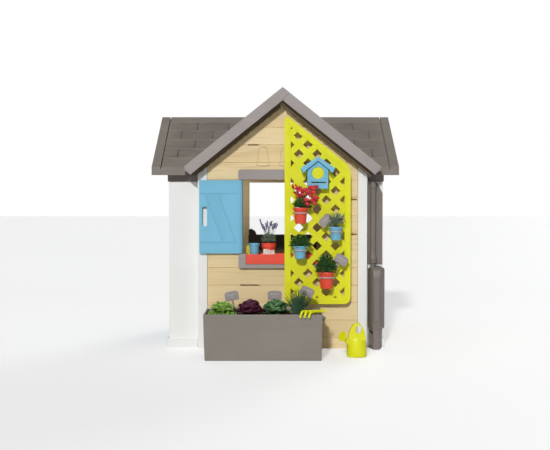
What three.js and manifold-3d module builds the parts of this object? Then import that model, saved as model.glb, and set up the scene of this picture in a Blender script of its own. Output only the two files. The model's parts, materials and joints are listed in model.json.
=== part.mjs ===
// A child's garden playhouse in moulded plastic, with its trellis, pots, planter and rain collector.
// Millimetres. The house is drawn from the middle of its front wall: X to the viewer's right,
// Y towards the back, Z up. The finished group is moved so that its origin is the middle of its base.

import * as THREE from "three";
import { mergeVertices } from "three/addons/utils/BufferGeometryUtils.js";
import Module from "manifold-3d";

const wasm = await Module();
wasm.setup();

// ---------------------------------------------------------------- driving dimensions

const GAP = 0.4; // clearance between pieces that rest on or in each other
const WALL = 28; // thickness of a wall panel
const HOUSE_DEPTH = 950; // outer face of the front wall to outer face of the back wall
const MIDDLE = HOUSE_DEPTH / 2;

const GABLE_HALF = 442; // half width of the gable section
const PANEL_HALF = 392; // half width of its timber-look wall panel
const BODY_LEFT = 598; // the wings' outer faces, from the gable's middle
const BODY_RIGHT = 528;
const SHOULDER = 50; // how far the wings stand back from the gable wall
const CORNER_RETURN = 190; // how far a corner panel runs along the side wall
const PLINTH = { height: 48, flare: 10 };

const GABLE_ROOF = { apex: 1355, halfWidth: 506, eave: 949, overhang: 92, thick: 52 };
GABLE_ROOF.slope = (GABLE_ROOF.apex - GABLE_ROOF.eave) / GABLE_ROOF.halfWidth;
GABLE_ROOF.angle = Math.atan(GABLE_ROOF.slope);
GABLE_ROOF.drop = GABLE_ROOF.thick / Math.cos(GABLE_ROOF.angle);

const WING_ROOF = { ridge: 1247, eave: 949, overhang: 17, drop: 42, left: 680, right: 605 };
WING_ROOF.run = MIDDLE + WING_ROOF.overhang;
WING_ROOF.slope = (WING_ROOF.ridge - WING_ROOF.eave) / WING_ROOF.run;
WING_ROOF.angle = Math.atan(WING_ROOF.slope);

const TILE = { pitch: 173, joint: 4, step: 6, border: 46, groove: 5, recess: 12 };
const WING_COURSES = { count: 5, run: 88 };
const GABLE_COURSES = { count: 6, run: 76.3 };

const PLANK = { pitch: 91.5, first: 58, count: 13, width: 5, depth: 3.5 };
const WINDOW = { half: 207, rearHalf: 196, bottom: 443, rearBottom: 548, top: 880 };
const DOORWAY = { front: 250, rear: 700, bottom: 25, top: 880 };
const HALF_DOOR = { top: 560, thick: 22, gap: 6 };
const SHUTTER = { reach: 216, bottom: 500, top: 881, thick: 20, front: -22 };

const TRELLIS = { left: 10, right: 352, bottom: 239, peak: 1222, rim: 32, front: -50, back: -30 };
const LATTICE = { pitch: 95, strip: 31.5, x: 83, z: 731, front: -47, back: -34 };

const PLANTER = { left: -388, right: 192, front: -380, back: -124, height: 226, wall: 10, soil: 202 };
const PLATE = { width: 70, height: 47, thick: 5, stem: 9 };
const POT_Y = -104;

// ---------------------------------------------------------------- materials

function plastic(color, roughness = 0.5) {
  return new THREE.MeshStandardMaterial({ color, roughness, metalness: 0 });
}

const BEIGE = plastic(0xe4cda0, 0.6);
const WHITE = plastic(0xf1f0ec, 0.5);
const TAUPE = plastic(0xa0968f, 0.6);
const TILES = plastic(0x766d67, 0.65);
const BLUE = plastic(0x7ab8d8, 0.45);
const LIME = plastic(0xd7de28, 0.45);
const RED = plastic(0xe85444, 0.45);
const PLANTER_GREY = plastic(0x8f8680, 0.6);
const PIPE_GREY = plastic(0x7d736e, 0.5);
const RING_GREY = plastic(0xb4a6a6, 0.5);
const LABEL_GREY = plastic(0x968c8c, 0.6);
const INNER_GREY = plastic(0x3a3534, 0.6);
const SOIL = plastic(0x2a2019, 1);
const LETTUCE = plastic(0x84b54a, 0.8);
const PURPLE = plastic(0x4a1530, 0.8);
const LEAF = plastic(0x3f7a3c, 0.8);
const LAVENDER = plastic(0x5d5470, 0.8);

// ---------------------------------------------------------------- solids

const house = new THREE.Group();

function solid(geometry) {
  const bare = geometry.index ? geometry.toNonIndexed() : geometry.clone();
  bare.deleteAttribute("normal");
  bare.deleteAttribute("uv");
  const merged = mergeVertices(bare, 1e-3);
  const mesh = new wasm.Mesh({
    numProp: 3,
    vertProperties: new Float32Array(merged.attributes.position.array),
    triVerts: new Uint32Array(merged.index.array),
  });
  return new wasm.Manifold(mesh);
}

function add(name, body, material) {
  const { numProp, vertProperties, triVerts } = body.getMesh();
  const geometry = new THREE.BufferGeometry();
  geometry.setAttribute("position", new THREE.BufferAttribute(new Float32Array(vertProperties), numProp));
  geometry.setIndex(new THREE.BufferAttribute(new Uint32Array(triVerts), 1));
  geometry.computeVertexNormals();
  const mesh = new THREE.Mesh(geometry, material);
  mesh.name = name;
  house.add(mesh);
}

function union(bodies) {
  return bodies.reduce((whole, body) => whole.add(body));
}

function without(body, cutters) {
  return cutters.reduce((rest, cutter) => rest.subtract(cutter), body);
}

function shapeOf(outline) {
  if (outline instanceof THREE.Shape) return outline;
  return new THREE.Shape(outline.map(([u, v]) => new THREE.Vector2(u, v)));
}

function extrusion(outline, depth, curveSegments = 4) {
  return new THREE.ExtrudeGeometry(shapeOf(outline), { depth, bevelEnabled: false, curveSegments });
}

// An outline drawn as seen from the front (x, z), running from yFront back to yBack.
function frontPrism(outline, yFront, yBack, curveSegments) {
  const geometry = extrusion(outline, yBack - yFront, curveSegments);
  geometry.rotateX(Math.PI / 2);
  geometry.translate(0, yBack, 0);
  return solid(geometry);
}

// An outline drawn as seen from the side (y, z), running from xLeft to xRight.
function sidePrism(outline, xLeft, xRight, curveSegments) {
  const geometry = extrusion(outline, xRight - xLeft, curveSegments);
  const turn = new THREE.Matrix4().makeBasis(
    new THREE.Vector3(0, 1, 0),
    new THREE.Vector3(0, 0, 1),
    new THREE.Vector3(1, 0, 0),
  );
  geometry.applyMatrix4(turn);
  geometry.translate(xLeft, 0, 0);
  return solid(geometry);
}

// An outline drawn in plan (x, y), running from zLow up to zHigh.
function planPrism(outline, zLow, zHigh, curveSegments) {
  const geometry = extrusion(outline, zHigh - zLow, curveSegments);
  geometry.translate(0, 0, zLow);
  return solid(geometry);
}

function block(x0, x1, y0, y1, z0, z1) {
  const geometry = new THREE.BoxGeometry(Math.abs(x1 - x0), Math.abs(y1 - y0), Math.abs(z1 - z0));
  geometry.translate((x0 + x1) / 2, (y0 + y1) / 2, (z0 + z1) / 2);
  return solid(geometry);
}

// A turned shape: profile points are (radius, height), from the axis back to the axis.
function turned(profile, x, y, z, segments = 16) {
  const geometry = new THREE.LatheGeometry(profile.map(([r, h]) => new THREE.Vector2(r, h)), segments);
  geometry.rotateX(Math.PI / 2);
  geometry.translate(x, y, z);
  return solid(geometry);
}

function upright(radius, x, y, z0, z1, segments = 12) {
  const geometry = new THREE.CylinderGeometry(radius, radius, z1 - z0, segments);
  geometry.rotateX(Math.PI / 2);
  geometry.translate(x, y, (z0 + z1) / 2);
  return solid(geometry);
}

// A polygon with its corners rounded; radius is how far each round starts from its corner.
function rounded(points, radius) {
  const shape = new THREE.Shape();
  const corners = points.map(([u, v]) => new THREE.Vector2(u, v));
  corners.forEach((corner, i) => {
    const before = corners[(i + corners.length - 1) % corners.length];
    const after = corners[(i + 1) % corners.length];
    const start = corner.clone().add(before.clone().sub(corner).setLength(radius));
    const end = corner.clone().add(after.clone().sub(corner).setLength(radius));
    if (i === 0) shape.moveTo(start.x, start.y);
    else shape.lineTo(start.x, start.y);
    shape.quadraticCurveTo(corner.x, corner.y, end.x, end.y);
  });
  shape.closePath();
  return shape;
}

function rectangle(u0, u1, v0, v1) {
  return [[u0, v0], [u1, v0], [u1, v1], [u0, v1]];
}

// The same outline seen from the other end of the house.
const toRear = (y) => HOUSE_DEPTH - y;

// ---------------------------------------------------------------- roof planes

const gableTop = (x) => GABLE_ROOF.apex - GABLE_ROOF.slope * Math.abs(x);
const wingTop = (y) => WING_ROOF.ridge - WING_ROOF.slope * Math.abs(MIDDLE - y);
const valley = (y) => (GABLE_ROOF.apex - wingTop(y)) / GABLE_ROOF.slope;

// Everything below the gable roof's underside, less a clearance.
function underGable(clearance = 1) {
  const drop = GABLE_ROOF.drop + clearance;
  const reach = 700;
  const outline = [[-reach, -10], [reach, -10], [reach, gableTop(reach) - drop]];
  outline.push([0, GABLE_ROOF.apex - drop], [-reach, gableTop(reach) - drop]);
  return frontPrism(outline, -400, HOUSE_DEPTH + 400);
}

// Everything below the wing roof's underside, less a clearance.
function underWings(clearance = 1) {
  const drop = WING_ROOF.drop + clearance;
  const outline = [[-50, -10], [toRear(-50), -10], [toRear(-50), wingTop(toRear(-50)) - drop]];
  outline.push([MIDDLE, WING_ROOF.ridge - drop], [-50, wingTop(-50) - drop]);
  return sidePrism(outline, -800, 800);
}

const BELOW_GABLE = underGable();
const BELOW_WINGS = underWings();

// ---------------------------------------------------------------- walls

// V-shaped plank joints across the outer face of a wall that faces front (-1) or back (1).
function plankJointsAcross(halfWidth, face, outward) {
  const joints = [];
  for (let i = 0; i < PLANK.count; i += 1) {
    const z = PLANK.first + i * PLANK.pitch;
    const profile = [
      [face + outward, z - PLANK.width / 2],
      [face + outward, z + PLANK.width / 2],
      [face - outward * PLANK.depth, z],
    ];
    joints.push(sidePrism(profile, -halfWidth - 5, halfWidth + 5));
  }
  return joints;
}

// The same joints on a side wall whose outer face is at x = face.
function plankJointsAlong(face, outward) {
  const joints = [];
  for (let i = 0; i < PLANK.count; i += 1) {
    const z = PLANK.first + i * PLANK.pitch;
    const profile = [
      [face + outward, z - PLANK.width / 2],
      [face + outward, z + PLANK.width / 2],
      [face - outward * PLANK.depth, z],
    ];
    joints.push(frontPrism(profile, CORNER_RETURN - 5, toRear(CORNER_RETURN - 5)));
  }
  return joints;
}

// A bell drawn as a cut line: the bell's outline less the same outline drawn smaller inside it.
function bell(x, z, width, height) {
  const outline = (inset) => {
    const half = width / 2 - inset;
    const low = z + inset;
    const high = z + height - inset;
    const shape = new THREE.Shape();
    shape.moveTo(x - half, low);
    shape.quadraticCurveTo(x, low - height * 0.12, x + half, low);
    shape.quadraticCurveTo(x + half * 0.72, low + height * 0.25, x + half * 0.72, z + height * 0.55);
    shape.quadraticCurveTo(x + half * 0.7, high, x, high);
    shape.quadraticCurveTo(x - half * 0.7, high, x - half * 0.72, z + height * 0.55);
    shape.quadraticCurveTo(x - half * 0.72, low + height * 0.25, x - half, low);
    return shape;
  };
  const line = 5;
  const depth = 4;
  return frontPrism(outline(0), -depth, depth).subtract(frontPrism(outline(line), -5, 5));
}

function gableWall(outerFace, outward, windowHalf, windowBottom) {
  const inner = outerFace - outward * WALL;
  const [front, back] = [Math.min(outerFace, inner), Math.max(outerFace, inner)];
  const panel = block(-PANEL_HALF, PANEL_HALF, front, back, 0, GABLE_ROOF.apex).intersect(BELOW_GABLE);
  const opening = block(-windowHalf, windowHalf, front - 5, back + 5, windowBottom, WINDOW.top);
  return without(panel, [opening, ...plankJointsAcross(PANEL_HALF, outerFace, outward)]);
}

function frontWall() {
  const slotHeight = 8;
  const slots = [[-151, 1064.5, 58], [-171, 332.5, 102], [362, 781, 52], [362, 598.5, 52]];
  const cuts = slots.map(([x, z, width]) => {
    return block(x - width / 2, x + width / 2, -5, 22, z - slotHeight / 2, z + slotHeight / 2);
  });
  const bells = [bell(-101, 957, 74, 100), bell(16, 957, 74, 100)];
  return without(gableWall(0, -1, WINDOW.half, WINDOW.bottom), [...cuts, ...bells]);
}

// One white corner: the gable section's post, its return, the wing's front and the start of its side.
function cornerPanel(side, bodyHalf, atRear) {
  const y = (value) => (atRear ? toRear(value) : value);
  const plan = (rows) => rows.map(([u, v]) => [side * u, y(v)]);
  const bar = (u0, u1, v0, v1, z0, z1) => block(side * u0, side * u1, y(v0), y(v1), z0, z1);
  const shoulderTop = 873;
  const post = planPrism(
    plan([
      [PANEL_HALF + 1.5, 0],
      [GABLE_HALF, 0],
      [GABLE_HALF, SHOULDER + WALL],
      [GABLE_HALF - WALL, SHOULDER + WALL],
      [GABLE_HALF - WALL, WALL],
      [PANEL_HALF + 1.5, WALL],
    ]),
    0,
    GABLE_ROOF.apex,
  ).intersect(BELOW_GABLE);
  const shoulder = bar(GABLE_HALF - 5, bodyHalf, SHOULDER, SHOULDER + WALL, 0, shoulderTop);
  const lowSide = bar(bodyHalf - WALL, bodyHalf, SHOULDER, SHOULDER + 37, 0, shoulderTop);
  const highSide = bar(bodyHalf - WALL, bodyHalf, SHOULDER + 36, CORNER_RETURN, 0, WING_ROOF.ridge);
  const { height, flare } = PLINTH;
  const plinthFront = bar(GABLE_HALF + 8, bodyHalf + flare, SHOULDER - flare, SHOULDER + 5, 0, height);
  const plinthSide = bar(bodyHalf - 5, bodyHalf + flare, SHOULDER - flare, CORNER_RETURN, 0, height);
  return union([post, shoulder, lowSide, highSide.intersect(BELOW_WINGS), plinthFront, plinthSide]);
}

function sideWall(side, bodyHalf) {
  const outer = side * bodyHalf;
  const inner = side * (bodyHalf - WALL);
  const start = CORNER_RETURN + 1.5;
  const panel = block(outer, inner, start, toRear(start), 0, WING_ROOF.ridge).intersect(BELOW_WINGS);
  return without(panel, plankJointsAlong(outer, side));
}

// The half door's two hinge sockets stand out from the wall at the doorway's rear edge.
const DOOR_HINGE = { x: -BODY_LEFT - 11, y: DOORWAY.rear + 2, pin: 5, hole: 5.6, heights: [110, 440] };

function doorWall() {
  const { x, y, hole, heights } = DOOR_HINGE;
  const { front, rear, bottom, top } = DOORWAY;
  const doorway = block(-BODY_LEFT - 20, -BODY_LEFT + 60, front, rear, bottom, top);
  const sockets = heights.map((z) => {
    const lug = union([
      block(-BODY_LEFT - 11, -BODY_LEFT + 5, y, y + 40, z - 30, z),
      upright(11, x, y, z - 30, z, 12),
    ]);
    return lug.subtract(upright(hole, x, y, z - 22, z + 5, 12));
  });
  const wall = sideWall(-1, BODY_LEFT).subtract(doorway).add(union(sockets));
  const reveal = heights.map((z) => upright(12, x, y, z, z + 45, 12));
  return without(wall, reveal);
}

// ---------------------------------------------------------------- roofs

const wingSide = (rows, atRear) => rows.map(([y, z]) => [atRear ? toRear(y) : y, z]);

// Plan of a gable roof half: full width over each gable, cut back to the valleys between them.
function gablePlan(side, grow) {
  const { halfWidth, overhang } = GABLE_ROOF;
  const wide = halfWidth + grow;
  const points = [[-60, -overhang], [wide, -overhang], [wide, -WING_ROOF.overhang + grow]];
  points.push([valley(MIDDLE) + grow, MIDDLE], [wide, toRear(-WING_ROOF.overhang) - grow]);
  points.push([wide, toRear(-overhang)], [-60, toRear(-overhang)]);
  return planPrism(points.map(([x, y]) => [side * x, y]), 0, 1500);
}

// Cross-section of a gable roof half. The left half carries the ridge and laps over the right one,
// along a joint square to the right slope. The outer surface can be sunk, the underside lowered.
function gableSection(side, { edge = [], sink = 0, lower = 0 } = {}) {
  const { apex, halfWidth, eave, thick, drop, angle } = GABLE_ROOF;
  const shift = side < 0 ? 0 : 1;
  const rise = thick - sink;
  const sunk = (x) => gableTop(x) - sink / Math.cos(angle);
  const foot = [side * (halfWidth - thick * Math.sin(angle)), eave - thick * Math.cos(angle) - lower];
  const ridge = side < 0 ? [[0, sunk(0)]] : [];
  const lap = rise * Math.sin(angle) + shift;
  const joint = [[lap, sunk(lap)], [shift, apex - drop - lower - shift]];
  return [foot, [side * halfWidth, sunk(halfWidth)], ...edge, ...ridge, ...joint];
}

function gableRoof(side) {
  const { overhang, halfWidth, angle, drop } = GABLE_ROOF;
  const { step, border, groove, recess, joint, pitch } = TILE;
  const { count, run } = GABLE_COURSES;
  const front = -overhang;
  const back = toRear(-overhang);
  const sunk = (depth) => depth / Math.cos(angle);

  const steps = [];
  for (let i = 1; i <= count; i += 1) {
    const x = side * (halfWidth - i * run);
    steps.push([x, gableTop(x) - sunk(step)], [x, gableTop(x)]);
  }
  const inset = border + groove;
  const tiles = frontPrism(gableSection(side, { edge: steps }), front + inset, back - inset);
  const rims = [
    frontPrism(gableSection(side), front, front + border),
    frontPrism(gableSection(side), back - border, back),
  ];
  const core = frontPrism(gableSection(side, { sink: recess }), front + 5, back - 5);

  // The soffit's lip, just inside each barge face, with shallow notches along its lower edge.
  const rib = { deep: 25, from: 12, reach: 452, count: 14, notch: 12, cut: 2 };
  const under = (x) => gableTop(x) - drop;
  const lipEdge = [[side * rib.reach, under(rib.reach) + 8], [side * rib.reach, under(rib.reach) - rib.deep]];
  const spacing = (rib.reach - 40) / rib.count;
  for (let i = 0; i < rib.count; i += 1) {
    const x = rib.reach - 14 - i * spacing;
    const inner = x - rib.notch;
    lipEdge.push([side * x, under(x) - rib.deep], [side * x, under(x) - rib.deep + rib.cut]);
    lipEdge.push([side * inner, under(inner) - rib.deep + rib.cut], [side * inner, under(inner) - rib.deep]);
  }
  lipEdge.push([side * rib.from, under(rib.from) - rib.deep], [side * rib.from, under(rib.from) + 8]);
  const lips = [frontPrism(lipEdge, -52, -1.5), frontPrism(lipEdge, toRear(-1.5), toRear(-52))];

  // Upright joints between tiles, staggered from course to course.
  const joints = [];
  for (let i = 0; i < count; i += 1) {
    const x = side * (halfWidth - (i + 0.5) * run);
    const first = front + inset + (i % 2 ? 60 : 60 + pitch / 2);
    for (let y = first; y < back - border - 20; y += pitch) {
      if (Math.abs(x) < valley(y) + run || y < -WING_ROOF.overhang || y > toRear(-WING_ROOF.overhang)) {
        const geometry = new THREE.BoxGeometry(run / Math.cos(angle) - 3, joint, 18);
        geometry.rotateY(side * angle);
        geometry.translate(x, y, gableTop(x));
        joints.push(solid(geometry));
      }
    }
  }
  const whole = union([core, tiles, ...rims]).intersect(gablePlan(side, -0.5));
  return without(union([whole, ...lips]), joints);
}

function wingRoof(side, bodyHalf, outerEdge, atRear) {
  const { ridge, eave, overhang, drop, angle } = WING_ROOF;
  const { step, border, groove, recess, joint, pitch } = TILE;
  const { count, run } = WING_COURSES;
  const sunk = (depth) => depth / Math.cos(angle);
  const inner = 100;
  const prism = (rows, u0, u1) => {
    const [x0, x1] = [side * u0, side * u1];
    return sidePrism(wingSide(rows, atRear), Math.min(x0, x1), Math.max(x0, x1));
  };
  const ridgeY = MIDDLE - 0.5;
  const foot = [[ridgeY, ridge - drop], [-overhang, eave - drop]];
  const steps = [];
  for (let i = 1; i <= count; i += 1) {
    const y = -overhang + i * run;
    steps.push([y, wingTop(y) - sunk(step)], [y, wingTop(y)]);
  }
  const courses = [...foot, [-overhang, eave], ...steps, [ridgeY, ridge]];
  const tiles = prism(courses, inner, outerEdge - border - groove);
  const rim = prism([...foot, [-overhang, eave], [ridgeY, ridge]], outerEdge - border, outerEdge);
  const low = sunk(recess);
  const core = prism([...foot, [-overhang, eave - low], [ridgeY, ridge - low]], inner, outerEdge - 5);

  const joints = [];
  for (let i = 0; i < count; i += 1) {
    const y = -overhang + (i + 0.5) * run;
    const first = outerEdge - border - (i % 2 ? 80 : 163);
    for (let u = first; u > valley(y) + 20; u -= pitch) {
      const geometry = new THREE.BoxGeometry(joint, run / Math.cos(angle) - 3, 18);
      geometry.rotateX(atRear ? -angle : angle);
      geometry.translate(side * u, atRear ? toRear(y) : y, wingTop(y));
      joints.push(solid(geometry));
    }
  }

  // The line between the tiles and the eave's edge.
  const lineY = -overhang + 6;
  const lineTop = wingTop(lineY);
  const eaveLine = [
    [lineY, lineTop + 8],
    [lineY, lineTop - 6],
    [lineY + joint, lineTop - 6],
    [lineY + joint, lineTop + 8],
  ];
  joints.push(prism(eaveLine, inner, outerEdge - border - groove));

  // Plan: from the outer edge in to the valley.
  const y = (value) => (atRear ? toRear(value) : value);
  const edge = 0.8;
  const plan = [
    [outerEdge + 10, -overhang - 10],
    [GABLE_ROOF.halfWidth + edge, -overhang - 10],
    [GABLE_ROOF.halfWidth + edge, -overhang],
    [valley(MIDDLE) + edge, MIDDLE],
    [outerEdge + 10, MIDDLE],
  ];
  const outline = plan.map(([u, v]) => [side * u, y(v)]);
  const roof = without(union([core, tiles, rim]).intersect(planPrism(outline, 0, 1500)), joints);

  // The lip that closes the gap between the eave and the wing's front wall.
  const lip = block(side * (GABLE_HALF + 1.5), side * (bodyHalf + 5), y(45), y(86), 874.5, 952);
  const gableSlab = frontPrism(gableSection(side, { lower: 2 }), -100, toRear(-100));
  return roof.add(lip.subtract(gableSlab.intersect(gablePlan(side, 1.5))));
}

// ---------------------------------------------------------------- window, shutter and door trim

const SHUTTER_PIN = { x: -217, y: -12, radius: 5, hole: 5.6, reach: 12 };

function lintel(face, outward, withHole) {
  const outline = rounded(rectangle(-230, 230, 884, 936), 14);
  const [near, far] = [face + outward * GAP, face + outward * 24];
  const bar = frontPrism(outline, Math.min(near, far), Math.max(near, far));
  if (!withHole) return bar;
  return bar.subtract(upright(SHUTTER_PIN.hole, SHUTTER_PIN.x, SHUTTER_PIN.y, 880, 900));
}

// A sill with an upstand at each end; the window box drops between them.
function frontSill() {
  const bar = frontPrism(rounded(rectangle(-230, 230, 424, 498), 10), -24, -GAP, 3);
  const seat = block(-191, 191, -30, 5, 444, 510);
  return without(bar, [seat, upright(SHUTTER_PIN.hole, SHUTTER_PIN.x, SHUTTER_PIN.y, 482, 505)]);
}

function rearSill() {
  return frontPrism(rounded(rectangle(-230, 230, 500, 546), 12), toRear(-GAP), toRear(-26), 3);
}

function windowBox() {
  const box = block(-189, 189, -28.5, 76, 445, 496);
  return box.subtract(block(-182, 182, -21, 69, 486, 500));
}

function shutter() {
  const { reach, bottom, top, thick, front } = SHUTTER;
  const { x, y, radius, reach: pin } = SHUTTER_PIN;
  const left = x - reach;
  const leaf = frontPrism(rounded(rectangle(left, x - 4, bottom, top), 8), front, front + thick, 3);
  const knuckle = upright(thick / 2, x, y, bottom, top, 12);
  const pins = upright(radius, x, y, bottom - pin, top + pin, 12);
  const slot = frontPrism(rounded(rectangle(left + 15, left + 41, 640, 743), 12.5), -40, 10);
  const rails = [556, 811].map((z) => block(left + 6, x - 14, front - 1, front + 2.5, z - 2, z + 2));
  const brace = (foot, head) => {
    const line = [[foot, 562], [foot + 5, 562], [head + 5, 805], [head, 805]];
    return frontPrism(line, front - 1, front + 2);
  };
  const braces = [brace(left + 186, left + 98), brace(left + 120, left + 32)];
  return without(union([leaf, knuckle, pins]), [slot, ...rails, ...braces]);
}

function halfDoor() {
  const { front, rear, bottom } = DOORWAY;
  const { top, thick, gap } = HALF_DOOR;
  const { x, y, pin, heights } = DOOR_HINGE;
  const face = -BODY_LEFT + 2;
  const outline = rounded(rectangle(front + gap, rear - gap, bottom + gap, top), 14);
  const leaf = sidePrism(outline, face, face + thick, 3);
  const lugs = heights.map((z) => {
    const strap = block(x - 10, face + 5, y - 44, y - 6, z + 1, z + 34);
    const barrel = upright(10, x, y, z + 1, z + 34, 12);
    const bridge = block(x - 10, x + 9, y - 10, y, z + 1, z + 34);
    return union([strap, barrel, bridge, upright(pin, x, y, z - 18, z + 5, 12)]);
  });
  const slot = sidePrism(rounded(rectangle(front + 24, front + 50, 400, 500), 12.5), face - 5, face + 40);
  const rails = [bottom + 75, top - 62].map((z) => {
    return block(face - 1, face + 2.5, front + gap + 8, rear - gap - 8, z - 2, z + 2);
  });
  const planks = [1, 2, 3].map((i) => {
    const groove = front + gap + (i * (rear - front - 2 * gap)) / 4 + (i === 1 ? 10 : 0);
    return block(face - 1, face + 2.5, groove - 2, groove + 2, bottom + 79, top - 66);
  });
  return without(union([leaf, ...lugs]), [slot, ...rails, ...planks]);
}

function doorLintel() {
  const outline = rounded(rectangle(DOORWAY.front - 24, DOORWAY.rear + 24, 884, 936), 14);
  return sidePrism(outline, -BODY_LEFT - 24, -BODY_LEFT - GAP);
}

function innerLedge() {
  const back = HOUSE_DEPTH - WALL - GAP;
  const ledge = block(-200, 215, back - 95, back, 470, 560);
  const wedge = [[-198, 555], [-148, 555], [-160, 584], [-184, 598], [-198, 592]];
  const raised = frontPrism(wedge, back - 92, back - 46);
  return ledge.add(raised);
}

// ---------------------------------------------------------------- trellis and what hangs on it

// The trellis outline, drawn in by an inset on every side.
function trellisOutline(inset) {
  const { left, right, bottom, peak } = TRELLIS;
  const shift = inset / Math.cos(GABLE_ROOF.angle);
  const top = (x) => peak - shift - (x - left) * GABLE_ROOF.slope;
  const [x0, x1] = [left + inset, right - inset];
  return [[x0, bottom + inset], [x1, bottom + inset], [x1, top(x1)], [x0, top(x0)]];
}

function slat(x, z, angle) {
  const geometry = new THREE.BoxGeometry(2600, LATTICE.back - LATTICE.front, LATTICE.strip);
  geometry.rotateY(angle);
  geometry.translate(x, (LATTICE.front + LATTICE.back) / 2, z);
  return solid(geometry);
}

function trellis() {
  const { front, back, rim } = TRELLIS;
  const { pitch, x, z } = LATTICE;
  const frame = frontPrism(rounded(trellisOutline(0), 40), front, back, 6);
  const opening = trellisOutline(rim);
  const slats = [];
  for (let i = -9; i <= 9; i += 1) {
    const offset = pitch / 2 + i * pitch;
    slats.push(slat(x + offset / 2, z + offset / 2, Math.PI / 4));
    slats.push(slat(x + offset / 2, z - offset / 2, -Math.PI / 4));
  }
  const inside = trellisOutline(rim - 2);
  const lattice = union(slats).intersect(frontPrism(inside, LATTICE.front, LATTICE.back));
  // Solid diamonds where the trellis is fixed to the wall.
  const diamond = ([cx, cz]) => {
    const half = pitch / 2;
    const outline = [[cx, cz - half], [cx + half, cz], [cx, cz + half], [cx - half, cz]];
    return frontPrism(outline, LATTICE.front, LATTICE.back);
  };
  const fixings = [[x, z + 2 * pitch], [x + pitch, z + 2 * pitch], [x, z - 3 * pitch]].map(diamond);
  const spacers = [[26, 300], [336, 300], [26, 1100], [336, 860]].map(([cx, cz]) => {
    return block(cx - 13, cx + 13, back - 5, -GAP, cz - 13, cz + 13);
  });
  // A shallow groove runs round the middle of the rim.
  const line = frontPrism(trellisOutline(rim - 9), front - 1, front + 2);
  const groove = line.subtract(frontPrism(trellisOutline(rim - 6), front - 2, front + 3));
  const rimmed = frame.subtract(frontPrism(opening, front - 5, back + 5)).subtract(groove);
  return union([rimmed, lattice, ...fixings, ...spacers]);
}

const BIRDHOUSE = { x: 180, front: -94, back: -50 - GAP, bottom: 836, hole: 31 };

function birdhouseBody() {
  const { x, front, back, bottom, hole } = BIRDHOUSE;
  const wallAt = 917;
  const outline = (inset) => [
    [x - 53 + inset, bottom + inset],
    [x + 53 - inset, bottom + inset],
    [x + 53 - inset, 934 - inset * 0.6],
    [x, 976 - inset * 1.2],
    [x - 53 + inset, 934 - inset * 0.6],
  ];
  const shell = frontPrism(outline(0), front, back);
  const hollow = frontPrism(outline(5), front + 5, back + 5);
  const ring = [];
  for (let i = 0; i < 24; i += 1) {
    const turn = (i / 24) * Math.PI * 2;
    ring.push([x + hole * Math.cos(turn), wallAt + hole * Math.sin(turn)]);
  }
  const door = frontPrism(ring, front - 5, front + 10);
  const slot = block(x - 42, x + 42, front - 5, front + 8, 865, 871);
  return without(shell, [hollow, door, slot]);
}

function birdhouseRoof() {
  const { x, front, back } = BIRDHOUSE;
  const outline = [[x, 1001], [x + 88, 941], [x + 75, 916], [x + 60, 926], [x + 60, 930.5], [x, 977]];
  outline.push([x - 60, 930.5], [x - 60, 926], [x - 75, 916], [x - 88, 941]);
  return frontPrism(outline, front - 14, back);
}

// The disc behind the birdhouse's round door.
function birdhouseDisc() {
  const disc = new THREE.CylinderGeometry(36, 36, 12, 20);
  disc.translate(BIRDHOUSE.x, BIRDHOUSE.front + 11 + GAP, 917);
  return solid(disc);
}

// Hanging pots: middle, heights of base, ring and top, and radius at rim and foot.
const POTS = [
  { name: "pot_red_upper", x: 91, base: 658, ring: 712, top: 740, rim: 39, foot: 28 },
  { name: "pot_blue_upper", x: 271, base: 573, ring: 617, top: 642, rim: 35.5, foot: 26 },
  { name: "pot_blue_lower", x: 89, base: 478, ring: 522, top: 545, rim: 36, foot: 26 },
  { name: "pot_red_lower", x: 223, base: 325, ring: 383, top: 412, rim: 42, foot: 30 },
];

// Each plant's spread from the pot's middle and its height above the rim.
const FOLIAGE = {
  pot_red_upper: { spread: 30, height: 92 },
  pot_blue_upper: { spread: 36, height: 56 },
  pot_blue_lower: { spread: 50, height: 58 },
  pot_red_lower: { spread: 56, height: 96 },
};

function potRing({ x, ring, rim }) {
  const inner = rim - 4;
  const outer = rim + 1.5;
  const height = 7;
  const band = [[inner, 0], [outer, 0], [outer, height], [inner, height], [inner, 0]];
  const hoop = turned(band, x, POT_Y, ring - height / 2, 20);
  const arm = block(x - 9, x + 9, POT_Y + rim - 1.5, TRELLIS.front - GAP, ring - 3.5, ring + 3.5);
  const hook = block(x - 14, x + 14, TRELLIS.front - 6, TRELLIS.front - GAP, ring - 16, ring + 24);
  return union([hoop, arm, hook]);
}

function pot({ x, base, ring, top, rim, foot }) {
  const neck = rim - 5;
  const seat = ring + 3.5 + GAP;
  const profile = [[0, 0], [foot, 0], [neck, seat - base], [rim, seat - base + 1], [rim + 0.5, top - base]];
  profile.push([rim - 3, top - base], [neck - 3, seat - base + 3], [foot - 3, 4], [0, 4]);
  return turned(profile, x, POT_Y, base, 20);
}

// Root ball inside the pot and one plain crown of leaves above it.
function potPlant({ name, x, base, ring, top, rim, foot }) {
  const { spread, height } = FOLIAGE[name];
  const neck = rim - 11;
  const profile = [[0, 6], [foot - 5, 6], [neck, ring + 10 - base], [neck, top - base + 3]];
  profile.push([spread, top - base + height * 0.35], [spread, top - base + height * 0.65]);
  profile.push([spread * 0.6, top - base + height], [0, top - base + height]);
  const flat = 0.8;
  return turned(profile, x, (POT_Y - 4) / flat, base, 12).scale([1, flat, 1]);
}

// ---------------------------------------------------------------- labels

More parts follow.
